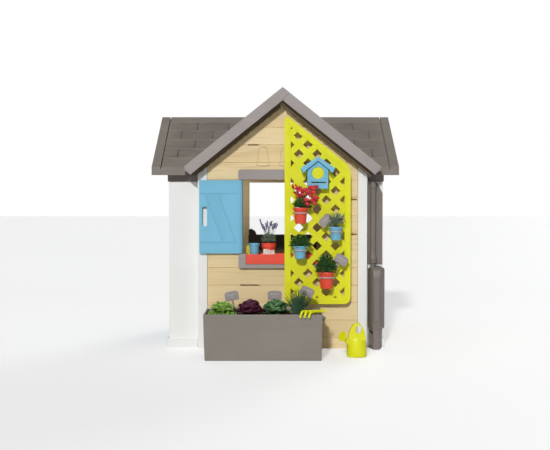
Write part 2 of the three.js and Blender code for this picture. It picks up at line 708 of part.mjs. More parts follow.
// A rounded plate on a stem, leaning by an angle. The stem's foot is where it stands.
function label(x, y, z, lean, stem) {
  const { width, height, thick, stem: stemWidth } = PLATE;
  const [w, h] = [width / 2, height / 2];
  const plate = rounded([[-w, -h], [w, -h], [w, h * 0.8], [w * 0.5, h], [-w * 0.5, h], [-w, h * 0.8]], 8);
  const stalk = rectangle(-stemWidth / 2, stemWidth / 2, -h - stem, -h + 4);
  const pieces = [extrusion(plate, thick, 3), extrusion(stalk, thick - 1)].map((geometry) => {
    geometry.rotateX(Math.PI / 2);
    geometry.translate(0, thick / 2, 0);
    geometry.rotateY(-lean);
    geometry.translate(x, y, z);
    return solid(geometry);
  });
  return pieces[0].add(pieces[1]);
}

// ---------------------------------------------------------------- planter

function planterBox() {
  const { left, right, front, back, height, wall } = PLANTER;
  const taper = 6;
  const shell = (inset, z0, z1) => {
    const low = [left + taper + inset, right - taper - inset, front + taper + inset, back - inset];
    const high = [left + inset, right - inset, front + inset, back - inset];
    const corners = [];
    [[low, z0], [high, z1]].forEach(([[x0, x1, y0, y1], z]) => {
      corners.push([x0, y0, z], [x1, y0, z], [x1, y1, z], [x0, y1, z]);
    });
    const faces = [0, 2, 1, 0, 3, 2, 4, 5, 6, 4, 6, 7];
    for (let i = 0; i < 4; i += 1) {
      const next = (i + 1) % 4;
      faces.push(i, next, next + 4, i, next + 4, i + 4);
    }
    const geometry = new THREE.BufferGeometry();
    geometry.setAttribute("position", new THREE.Float32BufferAttribute(corners.flat(), 3));
    geometry.setIndex(faces);
    return solid(geometry);
  };
  const outside = shell(0, 0, height);
  const inside = shell(wall, wall, height + 0.2);
  const knob = frontPrism(rounded(rectangle(right - 8, right + 26, 166, 190), 11), back - 40, back - 18);
  return outside.subtract(inside).add(knob.subtract(inside));
}

function planterSoil() {
  const { left, right, front, back, wall, soil } = PLANTER;
  const inset = wall + 8;
  return block(left + inset, right - inset, front + inset, back - wall - 1, wall + GAP, soil);
}

function dome(x, y, radius, height) {
  const base = PLANTER.soil + GAP;
  const profile = [[0, 0], [radius * 0.7, 0], [radius, height * 0.35], [radius * 0.9, height * 0.7]];
  profile.push([radius * 0.5, height], [0, height]);
  return turned(profile, x, y, base, 12);
}

// A hand rake lying over the planter's front rim: three bent tines, a head and a round handle.
function handRake() {
  const rim = PLANTER.height + GAP;
  const front = PLANTER.front;
  const sweep = (points, radius, sides) => {
    const curve = new THREE.CatmullRomCurve3(points.map(([x, y, z]) => new THREE.Vector3(x, y, z)));
    const section = new THREE.Shape();
    section.absarc(0, 0, radius, 0, Math.PI * 2);
    const options = { steps: 5, bevelEnabled: false, extrudePath: curve, curveSegments: sides };
    return solid(new THREE.ExtrudeGeometry(section, options));
  };
  const palm = rim + 9;
  const tines = [-26, 0, 26].map((offset) => {
    const x = 98 + offset * 0.9;
    const y = front - 4 - offset * 0.2;
    return sweep([[x + 12, y + 18, palm], [x, y - 8, rim + 6], [x - 4, y - 14, rim - 14]], 4.5, 4);
  });
  const bar = sweep([[80, front + 20, palm], [108, front + 16, palm], [138, front + 10, palm]], 7, 4);
  const grip = [[112, front + 16, palm], [160, front + 40, palm + 2], [226, front + 78, palm + 8]];
  const handle = sweep(grip, 8, 4);
  return union([bar, handle, ...tines]);
}

// ---------------------------------------------------------------- window sill things

const SILL_FLOOR = 486 + GAP;

function cup(x, y, height, rim, foot, band) {
  const profile = [[0, 0], [foot, 0], [rim - 3, height - band], [rim, height - band], [rim, height]];
  profile.push([rim - 3, height], [foot - 3, 4], [0, 4]);
  return turned(profile, x, y, SILL_FLOOR, 20);
}

function lavender(x, y) {
  const profile = [[0, 5], [18, 5], [27, 46], [27, 76], [36, 96], [36, 120], [26, 186], [0, 190]];
  return turned(profile, x, y, SILL_FLOOR, 12);
}

// ---------------------------------------------------------------- rain collector and watering can

const RAIN = { x: 491, wall: SHOULDER - GAP };

function rainBackPlate() {
  const outline = [[448, 440], [527, 440], [527, 812], [499, 868], [448, 868]];
  return frontPrism(outline, RAIN.wall - 9, RAIN.wall);
}

// The tank: wide against the wall, narrow in front, with a domed top and a raised front panel.
function tankPlan(left, right, front, wall) {
  const { x } = RAIN;
  return [
    [x - left, wall],
    [x - left, wall - 18],
    [x - 19, front],
    [x + 13, front],
    [x + right, wall - 18],
    [x + right, wall],
  ];
}

function rainTank() {
  const { x, wall } = RAIN;
  const body = planPrism(rounded(tankPlan(40, 47, -46, wall), 6), 105.5, 432, 2);
  const profile = [[wall + 10, 100], [-38, 100], [-40, 130], [-46, 200], [-46, 380], [-36, 412]];
  profile.push([-14, 427], [14, 432], [wall + 10, 432]);
  const shaped = body.intersect(sidePrism(profile, 400, 600));
  const crown = [[440, 90], [546, 90], [546, 388], [534, 420], [511, 431], [470, 431]];
  crown.push([452, 418], [444, 385], [440, 300]);
  const raised = frontPrism(rounded(rectangle(x - 15, x + 9, 150, 372), 8), -49, -40);
  const spout = upright(12, 474, 18, 425, 446, 12);
  return union([shaped.intersect(frontPrism(crown, -80, 80)), raised, spout]);
}

function tankStand() {
  const { x, wall } = RAIN;
  const body = planPrism(tankPlan(38, 31, -42, wall - PLINTH.flare), 0, 105);
  const niche = block(440, x - 14, -30, 32, 14, 92);
  return body.subtract(niche);
}

function downpipe() {
  const [x, y] = [474, 18];
  const profile = [[0, 447], [17, 447], [17, 462], [20, 465], [20, 482], [17, 486], [15, 500], [15, 838]];
  profile.push([18, 842], [18, 858], [15, 862], [15, 873], [0, 873]);
  return turned(profile, x, y, 0, 16);
}

const CAN = { x: 367, y: -252 };
const UP_Y = new THREE.Vector3(0, 1, 0);
const ROSE = {
  root: new THREE.Vector3(CAN.x - 32, CAN.y - 12, 58),
  middle: new THREE.Vector3(CAN.x - 68, CAN.y - 28, 104),
  facing: new THREE.Vector3(-0.62, -0.7, 0.35).normalize(),
};

function wateringCan() {
  const { x, y } = CAN;
  const wide = (profile) => {
    const geometry = new THREE.LatheGeometry(profile.map(([r, h]) => new THREE.Vector2(r, h)), 18);
    geometry.rotateX(Math.PI / 2);
    geometry.scale(1, 0.82, 1);
    geometry.translate(x, y, 0);
    return solid(geometry);
  };
  const body = wide([[0, 0], [46, 0], [49, 5], [50, 40], [46, 80], [41, 96], [0, 96]]);
  const hollow = wide([[0, 4], [44, 5], [47, 40], [43, 80], [30, 92.5], [30, 97], [0, 97]]);
  const arch = [[-41, 88], [41, 88], [38, 130], [26, 160], [0, 172], [-26, 160], [-38, 130]];
  const handle = frontPrism(rounded(arch.map(([u, z]) => [x + u, z]), 7), y - 31, y - 8, 3);
  const grip = new THREE.Shape();
  grip.absellipse(x + 7, 139, 16, 21, 0, Math.PI * 2, false, -0.2);
  const handHole = frontPrism(grip, y - 45, y + 30, 8);
  const spoutLength = ROSE.middle.distanceTo(ROSE.root);
  const spoutGeometry = new THREE.CylinderGeometry(8, 11, spoutLength, 12);
  const along = ROSE.middle.clone().sub(ROSE.root).normalize();
  spoutGeometry.applyQuaternion(new THREE.Quaternion().setFromUnitVectors(UP_Y, along));
  spoutGeometry.translate(...ROSE.middle.clone().add(ROSE.root).multiplyScalar(0.5).toArray());
  const spout = solid(spoutGeometry).subtract(hollow).subtract(roseDisc(GAP));
  const shell = body.subtract(hollow);
  return union([shell, handle.subtract(hollow), spout]).subtract(handHole);
}

// The sprinkler rose: a shallow dish pushed over the spout's end, facing forwards and to the left.
function roseDisc(grow) {
  const disc = new THREE.CylinderGeometry(25 + grow, 15 + grow, 14 + 2 * grow, 24);
  disc.applyQuaternion(new THREE.Quaternion().setFromUnitVectors(UP_Y, ROSE.facing));
  disc.translate(...ROSE.middle.toArray());
  return solid(disc);
}

// ---------------------------------------------------------------- assembly

function addWalls() {
  add("front_wall", frontWall(), BEIGE);
  add("back_wall", gableWall(HOUSE_DEPTH, 1, WINDOW.rearHalf, WINDOW.rearBottom), BEIGE);
  add("side_wall_left", doorWall(), BEIGE);
  add("side_wall_right", sideWall(1, BODY_RIGHT), BEIGE);
  [["left", -1, BODY_LEFT], ["right", 1, BODY_RIGHT]].forEach(([name, side, bodyHalf]) => {
    add(`corner_front_${name}`, cornerPanel(side, bodyHalf, false), WHITE);
    add(`corner_rear_${name}`, cornerPanel(side, bodyHalf, true), WHITE);
  });
}

function addRoofs() {
  const wings = [["left", -1, BODY_LEFT, WING_ROOF.left], ["right", 1, BODY_RIGHT, WING_ROOF.right]];
  wings.forEach(([name, side, bodyHalf, edge]) => {
    add(`gable_roof_${name}`, gableRoof(side), TAUPE);
    add(`wing_roof_${name}_front`, wingRoof(side, bodyHalf, edge, false), TILES);
    add(`wing_roof_${name}_rear`, wingRoof(side, bodyHalf, edge, true), TILES);
  });
}

function addOpenings() {
  add("lintel_front", lintel(0, -1, true), TAUPE);
  add("lintel_rear", lintel(HOUSE_DEPTH, 1, false), TAUPE);
  add("sill_front", frontSill(), TAUPE);
  add("sill_rear", rearSill(), TAUPE);
  add("window_box", windowBox(), RED);
  add("shutter", shutter(), BLUE);
  add("half_door", halfDoor(), BLUE);
  add("door_lintel", doorLintel(), TAUPE);
  add("inner_ledge", innerLedge(), INNER_GREY);
}

function addTrellis() {
  add("trellis", trellis(), LIME);
  add("birdhouse_body", birdhouseBody(), BLUE);
  add("birdhouse_roof", birdhouseRoof(), BLUE);
  add("birdhouse_disc", birdhouseDisc(), LIME);
  const labelUpper = label(219, POT_Y + 4, 673, 0.75, 34);
  const labelLower = label(300, POT_Y - 2, 474, -0.55, 40);
  const grown = { pot_blue_upper: labelUpper, pot_red_lower: labelLower };
  POTS.forEach((each) => {
    add(each.name, pot(each), each.name.includes("red") ? RED : BLUE);
    add(`${each.name}_ring`, potRing(each), RING_GREY);
    const plant = potPlant(each);
    const stake = grown[each.name];
    add(`${each.name}_plant`, stake ? plant.subtract(stake) : plant, LEAF);
  });
  add("label_pot_upper", labelUpper, LABEL_GREY);
  add("label_pot_lower", labelLower, LABEL_GREY);
}

function addPlanter() {
  add("planter_box", planterBox(), PLANTER_GREY);
  add("planter_soil", planterSoil(), SOIL);
  const row = PLANTER.back - 154;
  const labelRow = PLANTER.back - 74;
  add("lettuce", dome(-300, row, 72, 72), LETTUCE);
  add("cabbage_purple", dome(-164, row, 61, 82), PURPLE);
  add("cabbage_green", dome(-37, row, 62, 82), LEAF);
  add("chives", dome(76, row + 15, 36, 120), LEAF);
  add("label_lettuce", label(-257, labelRow, 297, 0.2, 69), LABEL_GREY);
  add("label_cabbage", label(-41, labelRow, 300, 0, 72), LABEL_GREY);
  add("label_chives", label(122, labelRow, 319, -0.44, 99), LABEL_GREY);
  add("hand_rake", handRake(), LIME);
}

function addSillThings() {
  add("sill_pot_blue", cup(-148, 32, 64, 29, 23, 10), BLUE);
  add("sill_pot_red", cup(-72, 39, 66, 38, 27, 24), RED);
  add("sill_lavender", lavender(-72, 39), LAVENDER);
}

function addRainCollector() {
  add("rain_back_plate", rainBackPlate(), PIPE_GREY);
  add("rain_tank", rainTank(), PIPE_GREY);
  add("tank_stand", tankStand(), PIPE_GREY);
  add("downpipe", downpipe(), PIPE_GREY);
  add("watering_can", wateringCan(), LIME);
  add("can_rose", roseDisc(0), LIME);
}

addWalls();
addRoofs();
addOpenings();
addTrellis();
addPlanter();
addSillThings();
addRainCollector();

const bounds = new THREE.Box3().setFromObject(house);
const middle = bounds.getCenter(new THREE.Vector3());
house.position.set(-middle.x, -middle.y, -bounds.min.z);

const playhouse = new THREE.Group();
playhouse.add(house);

export default playhouse;
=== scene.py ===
"""A child's garden playhouse in moulded plastic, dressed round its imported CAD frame. Metres, +Z up."""

import json
import math
import random

import bpy
from mathutils import Matrix, Vector, noise


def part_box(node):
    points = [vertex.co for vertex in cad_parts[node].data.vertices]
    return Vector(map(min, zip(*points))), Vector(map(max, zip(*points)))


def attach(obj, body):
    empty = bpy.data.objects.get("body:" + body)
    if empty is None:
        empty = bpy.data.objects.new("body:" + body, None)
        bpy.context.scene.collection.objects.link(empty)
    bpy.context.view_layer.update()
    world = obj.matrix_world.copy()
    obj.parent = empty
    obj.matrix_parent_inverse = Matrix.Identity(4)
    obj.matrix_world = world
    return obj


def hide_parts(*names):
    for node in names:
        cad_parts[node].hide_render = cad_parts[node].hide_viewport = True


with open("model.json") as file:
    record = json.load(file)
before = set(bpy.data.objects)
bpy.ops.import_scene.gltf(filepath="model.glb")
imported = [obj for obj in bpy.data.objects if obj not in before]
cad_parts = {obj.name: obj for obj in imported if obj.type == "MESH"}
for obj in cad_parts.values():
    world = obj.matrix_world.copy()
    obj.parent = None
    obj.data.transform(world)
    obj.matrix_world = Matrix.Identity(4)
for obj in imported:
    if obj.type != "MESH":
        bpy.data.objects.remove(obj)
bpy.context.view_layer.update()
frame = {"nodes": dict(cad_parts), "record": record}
NODES = frame["nodes"]
RECORD = frame["record"]

MM = 0.001
FULL_TURN = 2 * math.pi
GOLDEN_ANGLE = 2.39996
HOUSE_X = sum(corner.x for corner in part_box("back_wall")) / 2
WALL_CLEARANCE = 0.4
FRONT_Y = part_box("lintel_front")[1].y + WALL_CLEARANCE * MM


def place(x, y, z):
    """A point of the house in millimetres, from the middle of its front wall, as a point of the frame."""
    return Vector((HOUSE_X + x * MM, FRONT_Y + y * MM, z * MM))


# ---------------- materials


def rgb(red, green, blue):
    """An sRGB colour, 0 to 255, as the linear colour that a shader takes."""

    def linear(value):
        value /= 255
        return value / 12.92 if value <= 0.04045 else ((value + 0.055) / 1.055) ** 2.4

    return (linear(red), linear(green), linear(blue), 1.0)


class Shader:
    """A material and its node tree, with short calls for the nodes that this scene uses."""

    def __init__(self, name, roughness=0.5, specular=0.5):
        self.material = bpy.data.materials.new(name)
        self.material.use_nodes = True
        self.tree = self.material.node_tree
        self.tree.nodes.clear()
        output = self.node("ShaderNodeOutputMaterial")
        self.surface = self.node("ShaderNodeBsdfPrincipled")
        self.tree.links.new(self.surface.outputs[0], output.inputs["Surface"])
        self.surface.inputs["Roughness"].default_value = roughness
        self.surface.inputs["Specular IOR Level"].default_value = specular
        self.coords = self.node("ShaderNodeTexCoord").outputs["Object"]
        self.last_normal = None

    def node(self, kind, **settings):
        made = self.tree.nodes.new(kind)
        for key, value in settings.items():
            setattr(made, key, value)
        return made

    def feed(self, socket, value):
        """Links an output into a socket, or sets the socket to a plain value."""
        if isinstance(value, bpy.types.NodeSocket):
            self.tree.links.new(value, socket)
        else:
            socket.default_value = value

    def scaled(self, stretch, shift=None):
        mapping = self.node("ShaderNodeMapping")
        self.feed(mapping.inputs["Vector"], self.coords)
        mapping.inputs["Scale"].default_value = stretch
        if shift is not None:
            self.feed(mapping.inputs["Location"], shift)
        return mapping.outputs[0]

    def noise(self, scale, detail=3.0, stretch=(1, 1, 1), twist=0.0, shift=None):
        made = self.node("ShaderNodeTexNoise")
        self.feed(made.inputs["Vector"], self.scaled(stretch, shift))
        made.inputs["Scale"].default_value = scale
        made.inputs["Detail"].default_value = detail
        made.inputs["Distortion"].default_value = twist
        return made.outputs["Fac"]

    def cells(self, scale, stretch=(1, 1, 1)):
        made = self.node("ShaderNodeTexVoronoi")
        self.feed(made.inputs["Vector"], self.scaled(stretch))
        made.inputs["Scale"].default_value = scale
        return made.outputs["Distance"]

    def sum(self, operation, first, second):
        made = self.node("ShaderNodeMath", operation=operation)
        self.feed(made.inputs[0], first)
        self.feed(made.inputs[1], second)
        return made.outputs[0]

    def range(self, value, low, high, to_low, to_high):
        made = self.node("ShaderNodeMapRange")
        self.feed(made.inputs["Value"], value)
        numbers = zip(("From Min", "From Max", "To Min", "To Max"), (low, high, to_low, to_high))
        for socket, number in numbers:
            made.inputs[socket].default_value = number
        return made.outputs["Result"]

    def ramp(self, value, stops):
        made = self.node("ShaderNodeValToRGB")
        self.feed(made.inputs["Fac"], value)
        elements = made.color_ramp.elements
        for _ in stops[2:]:
            elements.new(0.5)
        for element, (position, colour) in zip(elements, stops):
            element.position = position
            element.color = colour
        return made.outputs["Color"]

    def mix(self, amount, first, second):
        made = self.node("ShaderNodeMix", data_type="RGBA")
        factor, colour_a, colour_b = made.inputs[0], made.inputs[6], made.inputs[7]
        self.feed(factor, amount)
        self.feed(colour_a, first)
        self.feed(colour_b, second)
        return made.outputs[2]

    def bump(self, height, distance, strength=1.0):
        made = self.node("ShaderNodeBump")
        made.inputs["Distance"].default_value = distance
        made.inputs["Strength"].default_value = strength
        self.feed(made.inputs["Height"], height)
        if self.last_normal is not None:
            self.feed(made.inputs["Normal"], self.last_normal)
        self.last_normal = made.outputs["Normal"]
        self.feed(self.surface.inputs["Normal"], self.last_normal)

    def colour(self, value):
        self.feed(self.surface.inputs["Base Color"], value)

    def roughness(self, value):
        self.feed(self.surface.inputs["Roughness"], value)

    def edges(self):
        """High along worn outer edges, low in the flats."""
        pointiness = self.node("ShaderNodeNewGeometry").outputs["Pointiness"]
        return self.range(pointiness, 0.505, 0.56, 0.0, 1.0)

    def painted_shade_in_hollows(self):
        """High in inner corners and grooves; the darker colour mixed in there is painted shade."""
        pointiness = self.node("ShaderNodeNewGeometry").outputs["Pointiness"]
        return self.range(pointiness, 0.495, 0.44, 0.0, 1.0)


def shade(colour, factor):
    return (*(min(1.0, channel * factor) for channel in colour[:3]), 1.0)


# How far in from the front and rear walls the eaves' painted shade reaches.
EAVE_SHADE_REACH = 62 * MM


def painted_eave_shade_mask(shader):
    """1 on the roof's upright and downward faces near the front and rear walls, 0 elsewhere: the mask for
    the painted shade under the eaves.
    """
    spot, facing = shader.node("ShaderNodeSeparateXYZ"), shader.node("ShaderNodeSeparateXYZ")
    shader.feed(spot.inputs[0], shader.coords)
    shader.feed(facing.inputs[0], shader.node("ShaderNodeNewGeometry").outputs["True Normal"])
    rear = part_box("lintel_rear")[0].y
    middle = (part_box("lintel_front")[1].y + rear) / 2
    from_middle = shader.sum("ABSOLUTE", shader.sum("SUBTRACT", spot.outputs["Y"], middle), 0.0)
    near = shader.sum("LESS_THAN", from_middle, rear - middle + EAVE_SHADE_REACH)
    return shader.sum("MULTIPLY", near, shader.sum("LESS_THAN", facing.outputs["Z"], 0.2))


def moulded(name, colour, roughness=0.42, mottling=0.07, streak=None, wear=0.25, eave_shade=None):
    """Coloured plastic from a mould: fine grain, slow drift of tone, paler worn edges, painted shade in
    the corners.
    """
    shader = Shader(name, roughness)
    tone = shader.noise(5.0, 2.0)
    base = shader.ramp(tone, [(0.3, shade(colour, 1 - mottling)), (0.7, shade(colour, 1 + mottling))])
    if streak is not None:
        lines = shader.noise(1.0, 5.0, stretch=streak, twist=0.6)
        base = shader.mix(shader.range(lines, 0.35, 0.7, 0.0, 0.35), base, shade(colour, 0.8))
        shader.bump(lines, 0.0006, 0.5)
    speckle = shader.noise(900.0, 2.0)
    base = shader.mix(shader.range(speckle, 0.35, 0.65, 0.0, 0.12), base, shade(colour, 0.75))
    base = shader.mix(shader.sum("MULTIPLY", shader.edges(), wear), base, shade(colour, 1.35))
    # Painted shade: darker in the inner corners.
    base = shader.mix(shader.sum("MULTIPLY", shader.painted_shade_in_hollows(), 0.2), base, shade(colour, 0.6))
    # Painted shade: dark brown under the front and rear eaves, where the overhang's shadow falls.
    if eave_shade is not None:
        base = shader.mix(painted_eave_shade_mask(shader), base, eave_shade)
    shader.colour(base)
    shader.roughness(shader.range(shader.noise(14.0, 4.0), 0.3, 0.7, roughness - 0.06, roughness + 0.09))
    shader.bump(speckle, 0.00012, 0.6)
    return shader.material


PLANK_PITCH = 91.5 * MM
PLANK_FIRST = 58 * MM


def planks():
    """Beige plastic moulded as sawn boards: each board has its own tone and its own run of grain."""
    pale, dark, line = rgb(238, 214, 164), rgb(224, 196, 140), rgb(194, 161, 104)
    shader = Shader("beige_planks", 0.5)
    split = shader.node("ShaderNodeSeparateXYZ")
    shader.feed(split.inputs[0], shader.coords)
    row = shader.sum("SUBTRACT", split.outputs["Z"], PLANK_FIRST)
    row = shader.sum("FLOOR", shader.sum("DIVIDE", row, PLANK_PITCH), 0.0)
    per_board = shader.node("ShaderNodeTexWhiteNoise", noise_dimensions="1D")
    shader.feed(per_board.inputs["W"], row)
    shift = shader.node("ShaderNodeVectorMath", operation="SCALE")
    shader.feed(shift.inputs[0], per_board.outputs["Color"])
    shift.inputs["Scale"].default_value = 30.0
    drift = shader.noise(1.6, 2.0, stretch=(1, 1, 3), shift=shift.outputs[0])
    base = shader.ramp(drift, [(0.3, dark), (0.7, pale)])
    tone = shader.range(per_board.outputs["Value"], 0.0, 1.0, 0.0, 0.3)
    base = shader.mix(tone, base, dark)
    grain = shader.noise(1.0, 6.0, stretch=(2.2, 2.2, 70), twist=0.5, shift=shift.outputs[0])
    base = shader.mix(shader.range(grain, 0.5, 0.72, 0.0, 0.6), base, line)
    rings = shader.noise(1.0, 2.0, stretch=(5, 5, 26), twist=2.5, shift=shift.outputs[0])
    contour = shader.sum("PINGPONG", shader.sum("MULTIPLY", rings, 16.0), 1.0)
    base = shader.mix(shader.range(contour, 0.8, 1.0, 0.0, 0.22), base, line)
    # Painted shade: the grooves between boards darkened to brown.
    base = shader.mix(shader.sum("MULTIPLY", shader.painted_shade_in_hollows(), 0.75), base, rgb(176, 142, 92))
    base = shader.mix(shader.sum("MULTIPLY", shader.edges(), 0.3), base, rgb(248, 232, 196))
    shader.colour(base)
    shader.roughness(shader.range(grain, 0.3, 0.7, 0.46, 0.6))
    shader.bump(grain, 0.0009, 0.6)
    shader.bump(contour, 0.0003, 0.4)
    shader.bump(shader.noise(800.0, 2.0), 0.0001, 0.5)
    return shader.material


def roof_tiles():
    """Dark taupe plastic, moulded as split-shingle tiles with a fibrous face."""
    colour = rgb(121, 113, 105)
    shader = Shader("taupe_tiles", 0.6)
    blotch = shader.noise(6.0, 3.0, stretch=(1, 2, 1))
    base = shader.ramp(blotch, [(0.3, shade(colour, 0.86)), (0.7, shade(colour, 1.1))])
    fibre = shader.noise(1.0, 5.0, stretch=(14, 90, 90), twist=0.4)
    base = shader.mix(shader.range(fibre, 0.45, 0.75, 0.0, 0.5), base, shade(colour, 0.68))
    # Painted shade: darker in the steps between tile courses and round the tiles.
    base = shader.mix(shader.sum("MULTIPLY", shader.painted_shade_in_hollows(), 0.5), base, shade(colour, 0.4))
    base = shader.mix(shader.sum("MULTIPLY", shader.edges(), 0.4), base, shade(colour, 1.4))
    shader.colour(base)
    shader.roughness(shader.range(fibre, 0.3, 0.7, 0.5, 0.68))
    shader.bump(fibre, 0.0012, 0.6)
    shader.bump(shader.noise(600.0, 2.0), 0.00015, 0.5)
    return shader.material


def foliage(name, dark, light, edge, roughness=0.5, vein=0.0, worn=0.3):
    """Leaves: each leaf its own tone, mottled, with a glossier skin and paler raised edges."""
    shader = Shader(name, roughness, 0.4)
    island = shader.node("ShaderNodeNewGeometry").outputs["Random Per Island"]
    base = shader.mix(island, dark, light)
    mottle = shader.noise(90.0, 3.0)
    base = shader.mix(shader.range(mottle, 0.4, 0.7, 0.0, 0.5), base, shade(dark, 0.8))
    base = shader.mix(shader.sum("MULTIPLY", shader.edges(), worn), base, edge)
    if vein:
        lines = shader.cells(vein)
        base = shader.mix(shader.range(lines, 0.0, 0.25, 0.55, 0.0), base, edge)
        shader.bump(lines, 0.002, 0.6)
    shader.colour(base)
    shader.roughness(shader.range(mottle, 0.3, 0.7, roughness - 0.08, roughness + 0.12))
    shader.bump(mottle, 0.0006, 0.5)
    return shader.material


def earth():
    shader = Shader("soil_crumbs", 0.9, 0.2)
    lumps = shader.noise(120.0, 6.0)
    stops = [(0.3, rgb(24, 17, 12)), (0.55, rgb(52, 38, 28)), (0.75, rgb(86, 66, 50))]
    shader.colour(shader.ramp(lumps, stops))
    shader.bump(lumps, 0.003, 0.9)
    shader.bump(shader.cells(420.0), 0.001, 0.6)
    return shader.material


def paper(name, colour, ink):
    """A printed seed packet: coarse paper with generic blocks of ink."""
    shader = Shader(name, 0.75, 0.3)
    blocks = shader.cells(70.0, stretch=(1, 1, 1.6))
    base = shader.mix(shader.range(blocks, 0.28, 0.3, 0.8, 0.0), colour, ink)
    fibres = shader.noise(700.0, 3.0)
    base = shader.mix(shader.range(fibres, 0.4, 0.7, 0.0, 0.15), base, shade(colour, 0.7))
    shader.colour(base)
    shader.bump(fibres, 0.0002, 0.5)
    return shader.material


BLUE = rgb(116, 183, 211)
LIME = rgb(228, 228, 10)
RED = rgb(238, 78, 56)
TAUPE = rgb(155, 146, 143)
# Painted shade: the dark brown of the shadowed lip and soffit under the eaves.
SOFFIT_PAINTED_SHADE = rgb(92, 74, 46)
BOARD_GRAIN = (6, 60, 60)

MATERIALS = {
    "wall_beige": planks(),
    "corner_white": moulded("white_panel", rgb(240, 240, 237), 0.4, mottling=0.015, wear=0.0),
    "trim_taupe": moulded("taupe_trim", TAUPE, 0.5, streak=BOARD_GRAIN),
    "roof_tiles": roof_tiles(),
    "blue_plastic": moulded("blue_plastic", BLUE, 0.36, mottling=0.04),
    "lime_plastic": moulded("lime_plastic", LIME, 0.34, mottling=0.05, wear=0.15),
    "red_plastic": moulded("red_plastic", RED, 0.36, mottling=0.05),
    "planter_grey": moulded("planter_grey", rgb(132, 125, 117), 0.52, streak=(5, 5, 80)),
    "pipe_grey": moulded("collector_grey", rgb(122, 113, 106), 0.42),
    "ring_grey": moulded("ring_grey", rgb(184, 170, 170), 0.4),
    "label_grey": moulded("label_grey", rgb(152, 142, 142), 0.5),
    # Painted shade: this near-black stands in for the shade of the room behind the window.
    "inner_grey": moulded("inner_grey", rgb(58, 52, 50), 0.5),
    "soil": earth(),
    "leaf_pale": foliage("lettuce_leaf", rgb(98, 150, 44), rgb(164, 208, 92), rgb(198, 226, 132), vein=70),
    "leaf_purple": foliage("purple_leaf", rgb(40, 6, 24), rgb(84, 20, 52), rgb(134, 62, 98), vein=60),
    "leaf_green": foliage("green_leaf", rgb(28, 70, 30), rgb(66, 122, 56), rgb(120, 170, 96)),
    "lavender": foliage("lavender_flower", rgb(64, 52, 92), rgb(112, 96, 142), rgb(160, 148, 182)),
}


# ---------------- mesh building


class Growth:
    """Vertices and faces gathered from many small shapes."""

    def __init__(self):
        self.points = []
        self.faces = []

    def add(self, shape, matrix=Matrix()):
        points, faces = shape
        start = len(self.points)
        self.points += [matrix @ Vector(point) for point in points]
        self.faces += [tuple(start + index for index in face) for face in faces]
        return self


def aimed(at, yaw, pitch, roll=0.0):
    """Puts a shape that grows along +Y at a point, turned by yaw and raised by pitch."""
    turn = Matrix.Rotation(yaw, 4, "Z") @ Matrix.Rotation(pitch, 4, "X") @ Matrix.Rotation(roll, 4, "Y")
    return Matrix.Translation(at) @ turn


def grid_faces(rows, columns, closed=False):
    """Quads over a grid of points laid out row by row."""
    faces = []
    for i in range(rows - 1):
        for j in range(columns if closed else columns - 1):
            after = (j + 1) % columns
            near, far = i * columns, (i + 1) * columns
            faces.append((near + j, near + after, far + after, far + j))
    return faces


def leaf(length, width, droop=0.2, cup=0.3, ruffle=0.0, waves=3.0, phase=0.0, rows=5, half=1, blunt=0.75):
    """A leaf that grows along +Y from the origin, faces +Z and hangs towards its tip."""
    points = []
    columns = 2 * half + 1
    for i in range(rows):
        t = 0.02 + 0.95 * i / (rows - 1)
        spread = width / 2 * math.sin(math.pi * t**blunt) ** 0.7
        for j in range(columns):
            s = j / half - 1
            wave = ruffle * abs(s) ** 1.5 * math.sin(waves * FULL_TURN * t + phase + 1.7 * s)
            z = cup * spread * s * s - droop * length * t * t + wave
            points.append((s * spread, length * t + 0.3 * wave, z))
    return points, grid_faces(rows, columns)


def tube(path, radii, sides=5):
    """A round tube along a path of points, closed at both ends."""
    path = [Vector(point) for point in path]
    points = []
    for i, centre in enumerate(path):
        along = (path[min(i + 1, len(path) - 1)] - path[max(i - 1, 0)]).normalized()
        across = along.cross(Vector((0.2, 1, 0.1))).normalized()
        other = along.cross(across)
        for j in range(sides):
            angle = FULL_TURN * j / sides
            offset = across * math.cos(angle) + other * math.sin(angle)
            points.append(centre + radii[i] * offset)
    faces = grid_faces(len(path), sides, closed=True)
    faces.append(tuple(reversed(range(sides))))
    faces.append(tuple(range(len(points) - sides, len(points))))
    return points, faces


def circle(radius, height, segments, flatten=1.0):
    angles = [FULL_TURN * j / segments for j in range(segments)]
    return [(radius * math.cos(angle), radius * math.sin(angle) * flatten, height) for angle in angles]


def lathe(profile, segments=56, flatten=1.0):
    """A turned shape; the profile is (radius, height) from the axis back to the axis."""
    points = [(0, 0, profile[0][1])]
    rings = profile[1:-1]
    for radius, height in rings:
        points += circle(radius, height, segments, flatten)
    points.append((0, 0, profile[-1][1]))
    last = len(points) - 1
    faces = [tuple(1 + index for index in face) for face in grid_faces(len(rings), segments, closed=True)]
    for j in range(segments):
        after = (j + 1) % segments
        faces.append((0, 1 + after, 1 + j))
        faces.append((last, last - segments + j, last - segments + after))
    return points, faces


def band(profile, segments=56):
    """A turned ring: the profile closes on itself and stays off the axis."""
    points = [point for radius, height in profile for point in circle(radius, height, segments)]
    ring = len(points)
    faces = grid_faces(len(profile) + 1, segments, closed=True)
    return points, [tuple(index % ring for index in face) for face in faces]


def prism(front, back):
    """A closed solid between two matching outlines."""
    count = len(front)
    faces = [tuple(range(count)), tuple(reversed(range(count, 2 * count)))]
    for k in range(count):
        after = (k + 1) % count
        faces.append((k, k + count, after + count, after))
    return [*front, *back], faces


def slab(low, high):
    """A closed box between two corners, for joining into a rounded piece."""
    (x0, y0, z0), (x1, y1, z1) = low, high
    points = [(x, y, z) for z in (z0, z1) for x, y in ((x0, y0), (x1, y0), (x1, y1), (x0, y1))]
    return points, [(3, 2, 1, 0), (4, 5, 6, 7), (0, 1, 5, 4), (1, 2, 6, 5), (2, 3, 7, 6), (3, 0, 4, 7)]


